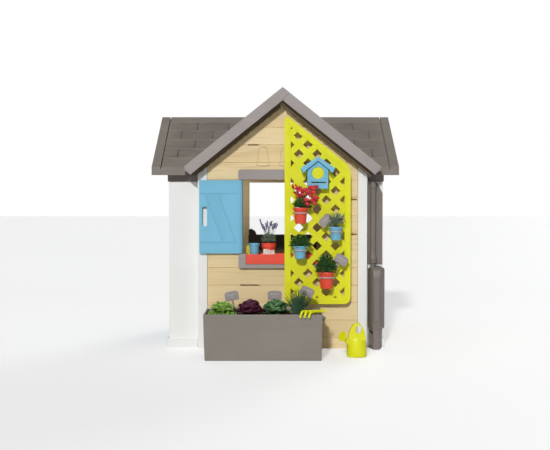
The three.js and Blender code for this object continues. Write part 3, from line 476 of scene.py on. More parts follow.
def smooth_profile(points, steps=4):
    """The profile with every inner corner rounded by a short curve."""
    made = [points[0]]
    for before, corner, after in zip(points, points[1:], points[2:]):
        reach = min(math.dist(before, corner), math.dist(corner, after), 4 * MM) / 2.2
        start = Vector(corner).lerp(Vector(before), reach / max(math.dist(before, corner), 1e-9))
        end = Vector(corner).lerp(Vector(after), reach / max(math.dist(corner, after), 1e-9))
        for step in range(steps + 1):
            t = step / steps
            point = start.lerp(Vector(corner), t).lerp(Vector(corner).lerp(end, t), t)
            made.append(tuple(point))
    return [*made, points[-1]]


def link(name, growth, material):
    """A new object from gathered shapes, shaded smooth."""
    mesh = bpy.data.meshes.new(name)
    mesh.from_pydata([tuple(point) for point in growth.points], [], growth.faces)
    mesh.materials.append(material)
    mesh.polygons.foreach_set("use_smooth", [True] * len(mesh.polygons))
    mesh.update()
    made = bpy.data.objects.new(name, mesh)
    bpy.context.scene.collection.objects.link(made)
    return made


def applied(obj):
    """Replaces the object's mesh by what its modifiers make of it."""
    bpy.context.view_layer.update()
    evaluated = obj.evaluated_get(bpy.context.evaluated_depsgraph_get())
    mesh = bpy.data.meshes.new_from_object(evaluated)
    obj.modifiers.clear()
    obj.data = mesh
    mesh.polygons.foreach_set("use_smooth", [True] * len(mesh.polygons))
    return obj


def modifier(obj, kind, **settings):
    made = obj.modifiers.new(kind.lower(), kind)
    for key, value in settings.items():
        setattr(made, key, value)
    return made


def fused(name, growth, material, voxel, cuts=(), rounds=5):
    """Shapes that run into each other, melted into one skin with soft edges, like one moulding."""
    obj = link(name, growth, material)
    modifier(obj, "REMESH", mode="VOXEL", voxel_size=voxel)
    applied(obj)
    for shape in cuts:
        cutter = link(name + "_cutter", Growth().add(*shape), material)
        modifier(obj, "BOOLEAN", operation="DIFFERENCE", object=cutter, solver="EXACT")
        applied(obj)
        bpy.data.objects.remove(cutter)
    if cuts:
        modifier(obj, "REMESH", mode="VOXEL", voxel_size=voxel)
    modifier(obj, "SMOOTH", factor=0.5, iterations=rounds)
    modifier(obj, "DECIMATE", ratio=0.35)
    return applied(obj)


def settle(obj, body, slot, *replaced):
    """The piece rides on its body and stands for CAD nodes; its slot is not used."""
    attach(obj, body)
    if replaced:
        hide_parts(*replaced)
    return obj


def thin(obj, thickness):
    """Leaves and paper get a real thickness."""
    modifier(obj, "SOLIDIFY", thickness=thickness, offset=0.0)
    return applied(obj)


# ---------------- the CAD nodes that stay

BODY_OF = {node: body for body, nodes in RECORD["behaviour"]["bodies"].items() for node in nodes}

# How far each node's edges are rounded, where the usual 1.2 mm isn't right.
ROUNDED = {
    5.0: "rain_tank",
    4.0: "planter_box lintel_front lintel_rear door_lintel sill_rear",
    3.0: "tank_stand sill_front birdhouse_roof",
    2.0: "rain_back_plate window_box gable_roof_left gable_roof_right",
    1.8: "trellis",
    1.4: "birdhouse_body",
    1.0: "shutter half_door",
    0.9: "front_wall back_wall side_wall_left side_wall_right",
}
ROUNDING = {node: width for width, nodes in ROUNDED.items() for node in nodes.split()}
USUAL_ROUNDING = 1.2


def dress(node, material):
    """Material and, but for the wing roofs, softly rounded edges. The node's own vertices stay."""
    obj = NODES[node]
    if obj.data.has_custom_normals:
        with bpy.context.temp_override(object=obj, active_object=obj):
            bpy.ops.mesh.customdata_custom_splitnormals_clear()
    obj.data.materials.clear()
    obj.data.materials.append(material)
    softened = "wing_roof" not in node  # softening tears the wing roofs' shallow courses
    obj.data.polygons.foreach_set("use_smooth", [softened] * len(obj.data.polygons))
    if not softened:
        return
    modifier(obj, "WELD", merge_threshold=0.01 * MM)
    modifier(obj, "DECIMATE", decimate_type="DISSOLVE", angle_limit=math.radians(1))
    modifier(
        obj, "BEVEL", width=ROUNDING.get(node, USUAL_ROUNDING) * MM, segments=3, limit_method="ANGLE",
        angle_limit=math.radians(28), harden_normals=True, use_clamp_overlap=True,
    )


def dress_nodes():
    # The gable roofs carry the painted shade under their eaves.
    barge_with_painted_shade = moulded("taupe_roof_trim_painted_eave_shade", TAUPE, 0.5, streak=BOARD_GRAIN, eave_shade=SOFFIT_PAINTED_SHADE)
    for part in RECORD["subparts"]:
        dress(part["node"], barge_with_painted_shade if "gable_roof" in part["node"] else MATERIALS[part["material_slot"]])


# ---------------- pots and their rings

RIM_WALL = 3 * MM
POTS = {  # slot, and radius of the foot in millimetres
    "pot_red_upper": ("red_plastic", 28),
    "pot_blue_upper": ("blue_plastic", 26),
    "pot_blue_lower": ("blue_plastic", 26),
    "pot_red_lower": ("red_plastic", 30),
}


def middle_of(node):
    low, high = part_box(node)
    return Vector(((low.x + high.x) / 2, (low.y + high.y) / 2, low.z)), low, high


def hanging_pot(name):
    """A tapered pot with a thick rolled rim that sits on its ring."""
    base, low, high = middle_of(name)
    rim = (high.x - low.x) / 2
    tall = high.z - low.z
    slot, foot = POTS[name][0], POTS[name][1] * MM
    neck = rim - 5 * MM
    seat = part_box(name + "_ring")[0].z - low.z + 31 * MM
    profile = [
        (0, 0), (foot - 3 * MM, 0), (foot, 2 * MM), (neck, seat - 1 * MM), (rim, seat + 1 * MM),
        (rim, tall - 2 * MM), (rim - 1 * MM, tall), (rim - RIM_WALL, tall - 1 * MM),
        (neck - RIM_WALL, seat + 2 * MM), (foot - RIM_WALL, 5 * MM), (0, 5 * MM),
    ]
    growth = Growth().add(lathe(smooth_profile(profile)), Matrix.Translation(base))
    settle(link(name + "_shell", growth, MATERIALS[slot]), name, slot, name)


def pot_ring(name):
    """The ring below the rim, its arm and the plate that hooks on the trellis."""
    node = name + "_ring"
    _, low, high = middle_of(node)
    pot = middle_of(name)[0]
    outer = (high.x - low.x) / 2
    inner = outer - 5.5 * MM
    ring = low.z + 16 * MM
    centre = Vector((pot.x, pot.y, ring))
    half = 3.4 * MM
    profile = [(inner, -half), (outer, -half), (outer, half), (inner, half)]
    growth = Growth().add(band(profile), Matrix.Translation(centre))
    arm_front = pot.y + outer - 4 * MM
    growth.add(slab((pot.x - 9 * MM, arm_front, ring - half), (pot.x + 9 * MM, high.y, ring + half)))
    plate_front = high.y - 5.6 * MM
    growth.add(slab((pot.x - 14 * MM, plate_front, low.z), (pot.x + 14 * MM, high.y, high.z)))
    obj = fused(node + "_skin", growth, MATERIALS["ring_grey"], 1.1 * MM, rounds=3)
    settle(obj, BODY_OF[node], "ring_grey", node)


def pot_soil(name):
    """The earth that shows inside a pot, heaped a little in the middle."""
    base, low, high = middle_of(name)
    rim = (high.x - low.x) / 2
    tall = high.z - low.z
    inside = rim - RIM_WALL - 3.2 * MM
    profile = [(0, tall - 22 * MM), (inside * 0.9, tall - 22 * MM), (inside, tall - 9 * MM)]
    profile += [(inside * (1 - k / 6), tall - (9 - 1.2 * k) * MM) for k in range(1, 6)]
    profile.append((0, tall - 2 * MM))
    growth = Growth().add(lathe(profile, 40), Matrix.Translation(base))
    for index, point in enumerate(growth.points):
        lift = noise.noise(point * 260) * 2.2 * MM
        growth.points[index] = point + Vector((0, 0, lift if point.z > base.z + tall - 12 * MM else 0))
    settle(link(name + "_soil", growth, MATERIALS["soil"]), name, "soil")


# ---------------- plants

GREY_GREEN = foliage("grey_green_leaf", rgb(60, 84, 66), rgb(116, 138, 108), rgb(186, 198, 176))
PALE_TIP = foliage("pale_tip", rgb(150, 160, 150), rgb(206, 210, 204), rgb(232, 232, 228))
DARK_LEAF = foliage("dark_leaf", rgb(20, 54, 22), rgb(52, 104, 44), rgb(96, 146, 74))
BLADE = foliage("chive_blade", rgb(18, 40, 30), rgb(45, 85, 60), rgb(96, 136, 98), 0.42)
POD = foliage("red_pod", rgb(170, 10, 22), rgb(226, 34, 54), rgb(250, 150, 150), 0.26, worn=0.08)
CABBAGE = foliage("cabbage_leaf", rgb(30, 78, 40), rgb(76, 132, 72), rgb(158, 196, 140), vein=55)
STEM = foliage("stem_green", rgb(60, 92, 44), rgb(92, 124, 66), rgb(140, 160, 104))


def sprigs(root, seed, stems, reach, leaves, size, lift=(0.15, 1.0), start=0.3):
    """Stems that arch out from a root to fill a dome, each with small leaves all along it."""
    growth = Growth()
    draw = random.Random(seed)
    for index in range(stems):
        yaw = index * GOLDEN_ANGLE + draw.uniform(-0.3, 0.3)
        high = draw.uniform(*lift)
        out = math.sqrt(max(0.0, 1 - high * high)) * draw.uniform(0.75, 1.0)
        end = Vector((math.cos(yaw) * out * reach[0], math.sin(yaw) * out * reach[1], high * reach[2]))
        bend = Vector((0, 0, reach[2] * 0.35))
        path = [root + end * t + bend * t * (1 - t) * 2 for t in (0, 0.25, 0.5, 0.75, 1.0)]
        growth.add(tube(path, [0.9 * MM, 0.8 * MM, 0.7 * MM, 0.6 * MM, 0.4 * MM], 4))
        for k in range(leaves):
            t = start + (1 - start) * (k + 0.5) / leaves
            at = root + end * t + bend * t * (1 - t) * 2
            length = size[0] * draw.uniform(0.7, 1.15)
            turn = yaw - math.pi / 2 + draw.uniform(-1.5, 1.5)
            pitch = draw.uniform(-0.2, 1.2)
            shape = leaf(length, size[1] * draw.uniform(0.8, 1.1), droop=draw.uniform(0, 0.4), rows=4)
            growth.add(shape, aimed(at, turn, pitch, draw.uniform(-0.5, 0.5)))
    return growth


def crown_of(name):
    """Where a pot's plant starts, and how far and how high it reaches."""
    base, low, high = middle_of(name)
    _, leaf_low, leaf_high = middle_of(name + "_plant")
    root = Vector((base.x, base.y - 3 * MM, high.z - 8 * MM))
    return root, (leaf_high.x - leaf_low.x) / 2, leaf_high.z - root.z


def bushy_pot(name, seed, stems, leaves, size, wider, lowest):
    root, spread, tall = crown_of(name)
    reach = (spread * wider, spread * 0.8, tall * 0.94)
    growth = sprigs(root, seed, stems, reach, leaves, size, lift=(lowest, 1.0))
    obj = thin(link(name + "_leaves", growth, DARK_LEAF), 0.5 * MM)
    settle(obj, name, "leaf_green", name + "_plant")


def spiky_pot(name, seed):
    """A herb with narrow upright leaves that go pale at the tips."""
    root, spread, tall = crown_of(name)
    reach = (spread * 1.4, spread * 0.9, tall * 1.15)
    growth = sprigs(root, seed, 46, reach, 9, (18 * MM, 3.8 * MM), lift=(0.2, 1.0))
    obj = thin(link(name + "_leaves", growth, GREY_GREEN), 0.5 * MM)
    settle(obj, name, "leaf_green", name + "_plant")
    draw = random.Random(seed + 1)
    tips = Growth()
    for _ in range(40):
        yaw = draw.uniform(0, FULL_TURN)
        high = draw.uniform(0.72, 1.02)
        out = math.sqrt(max(0.02, 1.05 - high * high))
        x = math.cos(yaw) * out * spread * 1.15 + 12 * MM
        at = root + Vector((x, math.sin(yaw) * out * spread * 0.6, 0))
        at.z += high * tall * 1.2
        at -= Vector((0, 0, 9 * MM))
        turn = yaw - math.pi / 2 + draw.uniform(-0.6, 0.6)
        tips.add(leaf(14 * MM, 3 * MM, rows=4), aimed(at, turn, draw.uniform(0.6, 1.3)))
    settle(thin(link(name + "_tips", tips, PALE_TIP), 0.5 * MM), name, "leaf_green")


def pod(length, radius):
    """A plump pointed pod along +Y."""
    steps = 9
    profile = [(0, 0)]
    for k in range(1, steps):
        t = k / steps
        profile.append((radius * math.sin(math.pi * t**0.8) ** 0.75, length * t))
    profile.append((0, length))
    points, faces = lathe(profile, 12)
    return [(x, z, -y) for x, y, z in points], faces


def pod_pot(name):
    """Red pods above green leaves: an upright cluster at the left, a hanging one at the right."""
    root, spread, tall = crown_of(name)
    bush = root + Vector((9, 0, 0)) * MM
    reach = (spread * 1.65, spread * 1.0, tall * 0.52)
    leaves = sprigs(bush, 5, 70, reach, 7, (17 * MM, 8 * MM), lift=(0.05, 1.0))
    obj = thin(link(name + "_leaves", leaves, DARK_LEAF), 0.6 * MM)
    settle(obj, name, "leaf_green", name + "_plant")
    draw = random.Random(11)
    pods, stalks = Growth(), Growth()
    clusters = [
        {"middle": (-8, -4, 78), "reach": (26, 14, 24), "count": 15, "pitch": (0.3, 1.2), "radius": 7.4},
        {"middle": (46, -22, 72), "reach": (26, 9, 42), "count": 20, "pitch": (-0.8, 0.3), "radius": 9.4},
    ]
    for cluster in clusters:
        for _ in range(cluster["count"]):
            offset = Vector([draw.uniform(-1, 1) * reach for reach in cluster["reach"]])
            at = root + (Vector(cluster["middle"]) + offset) * MM
            yaw = draw.choice((-1, 1)) * draw.uniform(0.6, 2.2)
            length = draw.uniform(30, 38) * MM
            radius = cluster["radius"] * draw.uniform(0.85, 1.1) * MM
            pods.add(pod(length, radius), aimed(at, yaw, draw.uniform(*cluster["pitch"])))
            path = [root, root.lerp(at, 0.55) + Vector((0, 0, 14 * MM)), at]
            stalks.add(tube(path, [1.1 * MM, 0.9 * MM, 0.7 * MM], 5))
    settle(link(name + "_pods", pods, POD), name, "red_plastic")
    settle(link(name + "_stalks", stalks, STEM), name, "leaf_green")


def chives():
    """A tuft of thin blades that fan out from one root."""
    root, low, high = middle_of("chives")
    draw = random.Random(21)
    growth = Growth()
    for _ in range(150):
        lean_x = draw.gauss(0, 0.45)
        lean_y = draw.gauss(0, 0.2)
        start = root + Vector((draw.uniform(-22, 22) * MM, draw.uniform(-16, 16) * MM, 0))
        tall = draw.uniform(95, 146) * MM * math.cos(min(1.0, abs(lean_x)))
        path, radii = [], []
        for k in range(7):
            t = k / 6
            out_x = max(-1.0, min(1.0, lean_x)) * 88 * MM * t**1.6
            out_y = max(-1.0, min(1.0, lean_y * 2)) * 34 * MM * t**1.6
            path.append(start + Vector((out_x, out_y, tall * t)))
            radii.append((1.9 * (1 - t) ** 0.7 + 0.25) * MM)
        growth.add(tube(path, radii, 5))
    settle(link("chive_blades", growth, BLADE), "house", "leaf_green", "chives")


def head_of_leaves(name, node, slot, material, tiers, seed, ruffle, waves, heart=0.0):
    """A leafy head: tiers of broad leaves, each steeper than the last, round a heart if it has one."""
    root, low, high = middle_of(node)
    radius = (high.x - low.x) / 2
    tall = high.z - low.z
    draw = random.Random(seed)
    growth = Growth()
    for count, pitch, length, width, up in tiers:
        for k in range(count):
            yaw = FULL_TURN * (k + draw.uniform(-0.25, 0.25)) / count + pitch * 3
            at = root + Vector((0, 0, up * tall))
            shape = leaf(
                length * radius * draw.uniform(0.9, 1.1),
                width * radius * draw.uniform(0.9, 1.1),
                droop=draw.uniform(0.15, 0.4) if not heart else draw.uniform(0.05, 0.25) - 0.28 * pitch,
                cup=0.5,
                ruffle=ruffle * draw.uniform(0.7, 1.2) * MM,
                waves=waves,
                phase=draw.uniform(0, FULL_TURN),
                rows=17,
                half=6,
                blunt=1.25,
            )
            growth.add(shape, aimed(at, yaw, pitch + draw.uniform(-0.12, 0.12), draw.uniform(-0.3, 0.3)))
    if heart:
        size = heart * radius
        ball = [(size * math.sin(math.pi * k / 16), size * -math.cos(math.pi * k / 16)) for k in range(17)]
        points, faces = lathe([(0, ball[0][1]), *ball[1:-1], (0, ball[-1][1])], 40)
        points = [Vector(point) * (1 + 0.16 * noise.noise(Vector(point) * 45)) for point in points]
        growth.add((points, faces), Matrix.Translation(root + Vector((0, 0, size * 0.9))))
    settle(thin(link(name, growth, material), 0.9 * MM), "house", slot, node)


def lavender():
    """Narrow grey-green leaves below, flower spikes on bare stems above."""
    base, low, high = middle_of("sill_lavender")
    root = Vector((base.x, base.y, low.z + 58 * MM))
    reach = (40 * MM, 21 * MM, 52 * MM)
    leaves = sprigs(root, 31, 46, reach, 9, (17 * MM, 3.2 * MM))
    obj = thin(link("lavender_leaves", leaves, GREY_GREEN), 0.5 * MM)
    settle(obj, BODY_OF["sill_lavender"], "leaf_green", "sill_lavender")
    draw = random.Random(32)
    stems, flowers = Growth(), Growth()
    bud = pod(6 * MM, 2.0 * MM)
    for index in range(13):
        lean = (index / 12 - 0.5) * 2
        top = high.z - root.z - draw.uniform(0, 34) * MM - 14 * MM * (1 - abs(lean))
        end = root + Vector((lean * 46 * MM, draw.uniform(-14, 14) * MM, top))
        knee = root + Vector((lean * 26 * MM, 0, top * 0.5))
        path = [root, knee, end]
        stems.add(tube(path, [1.0 * MM, 0.9 * MM, 0.6 * MM], 5))
        spike = draw.uniform(26, 42) * MM
        along = (end - knee).normalized()
        whorls = int(spike / (5 * MM))
        for k in range(whorls):
            at = end - along * spike * k / whorls
            for turn in range(6):
                yaw = FULL_TURN * turn / 6 + k * 0.5
                flowers.add(bud, aimed(at, yaw, draw.uniform(0.4, 1.0)))
    settle(link("lavender_stems", stems, STEM), BODY_OF["sill_lavender"], "leaf_green")
    settle(link("lavender_spikes", flowers, MATERIALS["lavender"]), BODY_OF["sill_lavender"], "lavender")


def planter_earth():
    """Loose earth: a bed with clods on top."""
    _, low, high = middle_of("planter_soil")
    rows, columns = 60, 110
    growth = Growth()
    for i in range(rows):
        for j in range(columns):
            x = low.x + (high.x - low.x) * j / (columns - 1)
            y = low.y + (high.y - low.y) * i / (rows - 1)
            inside = 0 < i < rows - 1 and 0 < j < columns - 1
            spot = Vector((x, y, 0))
            lumps = noise.noise(spot * 60) * 5 + abs(noise.noise(spot * 190)) * 5
            growth.points.append(Vector((x, y, high.z + (lumps * MM if inside else -4 * MM))))
    growth.faces = grid_faces(rows, columns)
    obj = link("planter_earth", growth, MATERIALS["soil"])
    modifier(obj, "SOLIDIFY", thickness=24 * MM, offset=-1.0)
    settle(applied(obj), "house", "soil", "planter_soil")


# ---------------- labels

LEANS = {
    "label_pot_upper": 0.75,
    "label_pot_lower": -0.55,
    "label_lettuce": 0.2,
    "label_cabbage": 0.0,
    "label_chives": -0.44,
}


def label_lines(node):
    """A plain wavy line, moulded proud of the label's plate in place of any word."""
    lean = LEANS[node]
    turn = Matrix.Rotation(-lean, 4, "Y")
    flat = turn.inverted()
    _, low, high = middle_of(node)
    face = [flat @ v.co for v in NODES[node].data.vertices if v.co.y < low.y + 0.3 * MM]
    across = [point.x for point in face]
    upward = [point.z for point in face]
    middle = Vector(((min(across) + max(across)) / 2, low.y, (min(upward) + max(upward)) / 2))
    draw = random.Random(node)
    growth = Growth()
    for height, half in ((5, 22), (-7, 13)):
        path = []
        for k in range(33):
            s = k / 32 * 2 - 1
            wave = math.sin(s * half * 0.75 + draw.uniform(-0.3, 0.3)) * 3.2
            path.append(turn @ (middle + Vector((s * half, 0, height + wave)) * MM))
        growth.add(tube(path, [1.0 * MM] * len(path), 6))
    settle(link(node + "_line", growth, PALE_TIP), BODY_OF[node], "label_grey")


# ---------------- tools and vessels


def sill_cup(node, slot):
    """A small pot with a deep plain rim."""
    base, low, high = middle_of(node)
    rim = (high.x - low.x) / 2
    tall = high.z - low.z
    band_height = (24 if "red" in node else 12) * MM
    foot = rim - (11 if "red" in node else 6) * MM
    neck = rim - 3 * MM
    collar = tall - band_height
    profile = [
        (0, 0), (foot - 2 * MM, 0), (foot, 2 * MM), (neck, collar), (rim, collar + 1 * MM),
        (rim, tall - 1 * MM), (rim - 1 * MM, tall), (neck, tall - 1 * MM), (foot - 3 * MM, 4 * MM),
        (0, 4 * MM),
    ]
    growth = Growth().add(lathe(smooth_profile(profile)), Matrix.Translation(base))
    settle(link(node + "_shell", growth, MATERIALS[slot]), BODY_OF[node], slot, node)


def curved(points, steps=24):
    """A smooth path through a few points."""
    made = []
    count = len(points)
    for step in range(steps + 1):
        u = step / steps * (count - 1)
        i = min(int(u), count - 2)
        t = u - i
        a, b, c, d = (Vector(points[max(0, min(count - 1, i + k))]) for k in (-1, 0, 1, 2))
        square, cube = 2 * a - 5 * b + 4 * c - d, 3 * b - a - 3 * c + d
        made.append(0.5 * (2 * b + (c - a) * t + square * t**2 + cube * t**3))
    return made


def hand_rake():
    """Three bent tines, a broad palm and a tapering handle, in one moulding."""
    low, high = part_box("planter_box")
    front, lift = low.y, high.z + 9.5 * MM
    growth = Growth()
    for offset in (-23, 0, 23):
        x = HOUSE_X + (112 + offset * 0.9) * MM
        y = front - (4 + offset * 0.2) * MM
        points = [
            (x + 14 * MM, y + 20 * MM, lift),
            (x + 3 * MM, y + 2 * MM, lift + 5 * MM),
            (x - 4 * MM, y - 10 * MM, lift - 4 * MM),
            (x - 10 * MM, y - 12 * MM, lift - 24 * MM),
        ]
        path = curved(points, 18)
        radii = [(7.4 - 2.6 * k / 18) * MM for k in range(19)]
        growth.add(tube(path, radii, 14))
    palm = [(92, 20, 0), (116, 18, 2), (144, 14, 0)]
    path = curved([(HOUSE_X + x * MM, front + y * MM, lift + z * MM) for x, y, z in palm], 12)
    growth.add(tube(path, [9.5 * MM] * 13, 14))
    handle = [(118, 17, 0), (144, 30, 1), (180, 50, 1), (210, 64, 2)]
    path = curved([(HOUSE_X + x * MM, front + y * MM, lift + z * MM) for x, y, z in handle], 20)
    radii = [(11 - 0.22 * k) * MM for k in range(21)]
    growth.add(tube(path, radii, 14))
    obj = fused("hand_rake_skin", growth, MATERIALS["lime_plastic"], 1.2 * MM)
    settle(obj, "hand_rake", "lime_plastic", "hand_rake")


def arch_plate(middle, half_depth):
    """The can's handle: a tall arch with a flat face, as a closed shape."""
    outline = []
    for k in range(41):
        angle = math.pi * k / 40
        across = 43 * math.cos(angle) * (1 - 0.06 * math.sin(angle))
        outline.append((across, 84 + 88 * math.sin(angle) ** 0.9))
    return prism(
        *([(middle.x + x * MM, middle.y + y, middle.z + z * MM) for x, z in outline]
          for y in (-half_depth, half_depth))
    )


ROSE_FROM_CAN = Vector((-68, -28, 104))
ROSE_FACING = Vector((-0.62, -0.7, 0.35))


def can_middle():
    _, low, high = middle_of("watering_can")
    return Vector((high.x - 50 * MM, high.y - 41 * MM, low.z))


def watering_can():
    """Body, arched handle and spout in one moulding, open at the top, with a hole for the hand."""
    middle = can_middle()
    wide = 0.82
    body = [(0, 0), (44, 0), (48.5, 3), (50, 14), (50, 40), (48, 66), (44, 86), (38, 96), (0, 99)]
    outer = lathe(smooth_profile([(r * MM, h * MM) for r, h in body]), 72, wide)
    at = Matrix.Translation(middle)
    growth = Growth().add(outer, at).add(arch_plate(middle - Vector((0, 19.5, 0)) * MM, 11.5 * MM))
    spout_start = middle + Vector((-32, -12, 58)) * MM
    path = [spout_start.lerp(middle + ROSE_FROM_CAN * MM, k / 10) for k in range(10)]
    growth.add(tube(path, [(11 - 0.3 * k) * MM for k in range(10)], 24))
    hollow = [(0, 4), (42, 4), (46, 12), (46.5, 40), (44.5, 66), (40, 84), (31, 91), (29, 99.5), (0, 99.5)]
    inside = lathe([(r * MM, h * MM) for r, h in hollow], 64, wide)
    grip = []
    for k in range(40):
        angle = FULL_TURN * k / 40
        across, up = 16 * math.cos(angle), 21 * math.sin(angle)
        grip.append((7 + across * 0.98 + up * 0.2, 139 + up * 0.98 - across * 0.2))
    hole = prism(*([middle + Vector((x, y, z)) * MM for x, z in grip] for y in (-60, 60)))
    cuts = ((inside, at), (hole,))
    obj = fused("watering_can_skin", growth, MATERIALS["lime_plastic"], 1.5 * MM, cuts)
    settle(obj, "watering_can", "lime_plastic", "watering_can")


def can_rose():
    """The sprinkler rose: a shallow dish with rings of grooves and ridges in its face."""
    profile = [(0, -7), (13, -7), (15, -5), (24.5, 5), (25, 7), (22.5, 7.6), (21, 6.2)]
    for ring in range(5, 0, -1):
        radius = ring * 3.7
        profile += [(radius + 1.4, 6.8), (radius, 5.6 if ring % 2 else 7)]
    profile.append((0, 7))
    shape = lathe([(r * MM, h * MM) for r, h in profile], 56)
    turn = ROSE_FACING.to_track_quat("Z", "Y").to_matrix().to_4x4()
    turn = Matrix.Translation(can_middle() + ROSE_FROM_CAN * MM) @ turn
    obj = link("can_rose_dish", Growth().add(shape, turn), MATERIALS["lime_plastic"])
    settle(obj, "watering_can", "lime_plastic", "can_rose")


def downpipe():
    """The pipe with its collars, turned finely."""
    _, low, high = middle_of("downpipe")
    x, y = (low.x + high.x) / 2, (low.y + high.y) / 2
    heights = [
        (0, 447), (17, 447), (17, 462), (20, 465), (20, 482), (17, 486), (15, 500), (15, 838), (18, 842),
        (18, 858), (15, 862), (15, 872), (0, 873),
    ]
    profile = smooth_profile([(r * MM, h * MM) for r, h in heights])
    growth = Growth().add(lathe(profile, 48), Matrix.Translation((x, y, 0)))
    settle(link("downpipe_tube", growth, MATERIALS["pipe_grey"]), "house", "pipe_grey", "downpipe")


def birdhouse_disc():
    _, low, high = middle_of("birdhouse_disc")
    radius = (high.x - low.x) / 2
    deep = high.y - low.y
    face = [(radius - 2.2 * MM, 0), (radius - 1 * MM, 0.2 * MM), (radius, 1.2 * MM)]
    profile = [(0, 0), *face, *((r, deep - h) for r, h in reversed(face)), (0, deep)]
    points, faces = lathe(profile, 64)
    at = Matrix.Translation(((low.x + high.x) / 2, high.y, (low.z + high.z) / 2))
    at = at @ Matrix.Rotation(math.pi / 2, 4, "X")
    obj = link("birdhouse_plate", Growth().add((points, faces), at), MATERIALS["lime_plastic"])
    settle(obj, "house", "lime_plastic", "birdhouse_disc")


# ---------------- small things on the sill


def packet(name, middle, size, lean, turn, material, seed):
    """A paper packet standing on edge, creased and a little crumpled."""
    width, tall = size
    rows, columns = 9, 11
    growth = Growth()
    for i in range(rows):
        for j in range(columns):
            s, t = j / (columns - 1) - 0.5, i / (rows - 1)
            crease = noise.noise(Vector((s * 4 + seed, t * 3, seed))) * 2.2 * MM
            growth.points.append(Vector((s * width, crease + 1.5 * MM * math.cos(s * 7), t * tall)))
    growth.faces = grid_faces(rows, columns)
    obj = thin(link(name, growth, material), 1.0 * MM)
    matrix = Matrix.Translation(middle) @ Matrix.Rotation(turn, 4, "Z") @ Matrix.Rotation(lean, 4, "Y")
    obj.data.transform(matrix)
    settle(obj, "house", "label_grey")


def sill_things():
    cream = paper("cream_packet", rgb(238, 230, 218), rgb(150, 130, 112))
    lime = paper("lime_packet", rgb(226, 214, 60), rgb(150, 160, 40))
    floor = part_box("sill_pot_blue")[0].z * 1000 + 0.6
    packet("seed_packet_left", place(-86, 5, floor), (36 * MM, 33 * MM), 0.16, 0.05, cream, 1.0)
    packet("seed_packet_right", place(-56, 5, floor), (38 * MM, 27 * MM), -0.24, -0.08, cream, 4.0)
    packet("seed_packet_yellow", place(-180, 63, floor), (26 * MM, 52 * MM), 0.1, 0.0, lime, 8.0)


# ---------------- stage


FLOOR_GLOW = 0.34


def lamp(name, kind, energy):
    data = bpy.data.lights.new(name, kind)
    data.energy = energy
    made = bpy.data.objects.new(name, data)
    bpy.context.scene.collection.objects.link(made)
    return made


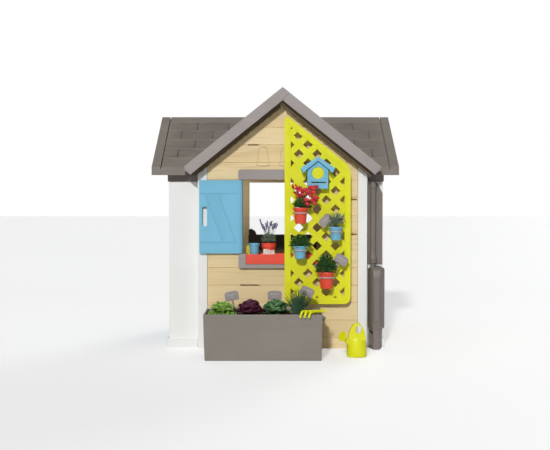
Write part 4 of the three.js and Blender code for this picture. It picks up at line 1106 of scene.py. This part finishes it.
def stage():
    """Pale floor, soft light and the front camera. The floor glows a little, seen directly only."""
    scene = bpy.context.scene
    scene.view_settings.view_transform = "Standard"

    bpy.ops.mesh.primitive_plane_add(size=60, location=(0, 0, -0.4 * MM))
    floor = bpy.context.object
    floor.name = "studio_floor"
    shader = Shader("studio_floor", 0.7, 0.2)
    greys = [(0.3, rgb(228, 228, 228)), (0.7, rgb(232, 232, 232))]
    shader.colour(shader.ramp(shader.noise(0.6, 2.0), greys))
    seen_directly = shader.node("ShaderNodeLightPath").outputs["Is Camera Ray"]
    shader.surface.inputs["Emission Color"].default_value = (1, 1, 1, 1)
    glow = shader.sum("MULTIPLY", seen_directly, FLOOR_GLOW)
    shader.feed(shader.surface.inputs["Emission Strength"], glow)
    floor.data.materials.append(shader.material)

    world = bpy.data.worlds.new("studio")
    scene.world = world
    world.use_nodes = True
    nodes, links = world.node_tree.nodes, world.node_tree.links
    nodes.clear()
    output = nodes.new("ShaderNodeOutputWorld")
    seen, lighting = nodes.new("ShaderNodeBackground"), nodes.new("ShaderNodeBackground")
    seen.inputs["Strength"].default_value = 1.0
    seen.inputs["Color"].default_value = (1, 1, 1, 1)
    lighting.inputs["Color"].default_value = (0.96, 0.98, 1, 1)
    lighting.inputs["Strength"].default_value = 0.15
    path = nodes.new("ShaderNodeLightPath")
    either = nodes.new("ShaderNodeMixShader")
    links.new(path.outputs["Is Camera Ray"], either.inputs[0])
    links.new(lighting.outputs[0], either.inputs[1])
    links.new(seen.outputs[0], either.inputs[2])
    links.new(either.outputs[0], output.inputs[0])

    suns = [
        ("key", (0.18, 1.0, -0.5), 2.0, 4),
        ("back", (-0.5, -1.0, -0.5), 0.8, 20),
        ("top", (0, 0.1, -1.0), 0.6, 60),
    ]
    for name, direction, strength, softness in suns:
        sun = lamp(name, "SUN", strength)
        sun.data.angle = math.radians(softness)
        sun.rotation_mode = "QUATERNION"
        sun.rotation_quaternion = Vector(direction).to_track_quat("-Z", "Y")
    # A weak lamp inside the house lifts the room seen through the window.
    room = lamp("room", "POINT", 1.2)
    room.data.shadow_soft_size = 0.12
    room.location = place(-300, 640, 800)
    room.visible_camera = False
    room.visible_glossy = False

    lens = bpy.data.cameras.new("front_camera")
    lens.lens = 62.18
    lens.sensor_width = 36
    camera = bpy.data.objects.new("front_camera", lens)
    camera.location = place(-45.2, -4955, 806)
    camera.rotation_euler = (math.pi / 2 - 0.032, 0, -0.0012)
    scene.collection.objects.link(camera)
    scene.camera = camera


# ---------------- making it all

stage()
dress_nodes()
for pot_name in POTS:
    hanging_pot(pot_name)
    pot_ring(pot_name)
    pot_soil(pot_name)
pod_pot("pot_red_upper")
spiky_pot("pot_blue_upper", 3)
bushy_pot("pot_blue_lower", 8, 120, 9, (13 * MM, 7.5 * MM), 1.3, -0.05)
bushy_pot("pot_red_lower", 9, 150, 10, (13 * MM, 7 * MM), 1.1, 0.0)
chives()
# Each tier: leaves, pitch, length and width in radii of the head, height up the head.
LETTUCE_TIERS = [(9, 0.35, 1.0, 1.0, 0.1), (8, 0.8, 1.0, 0.95, 0.15), (7, 1.2, 0.9, 0.8, 0.2)]
CABBAGE_TIERS = [
    (7, 0.3, 1.25, 1.35, 0.1), (7, 0.65, 1.25, 1.35, 0.1), (6, 1.0, 1.25, 1.3, 0.1),
    (5, 1.3, 1.2, 1.1, 0.1),
]
LETTUCE, PURPLE = MATERIALS["leaf_pale"], MATERIALS["leaf_purple"]
head_of_leaves("lettuce_leaves", "lettuce", "leaf_pale", LETTUCE, LETTUCE_TIERS, 41, 7, 4)
head_of_leaves(
    "purple_cabbage_leaves", "cabbage_purple", "leaf_purple", PURPLE, CABBAGE_TIERS, 42, 4.5, 3, 0.5
)
head_of_leaves(
    "green_cabbage_leaves", "cabbage_green", "leaf_green", CABBAGE, CABBAGE_TIERS, 43, 3.5, 3, 0.5
)
planter_earth()
for label_name in LEANS:
    label_lines(label_name)
sill_cup("sill_pot_blue", "blue_plastic")
sill_cup("sill_pot_red", "red_plastic")
lavender()
sill_things()
hand_rake()
watering_can()
can_rose()
downpipe()
birdhouse_disc()
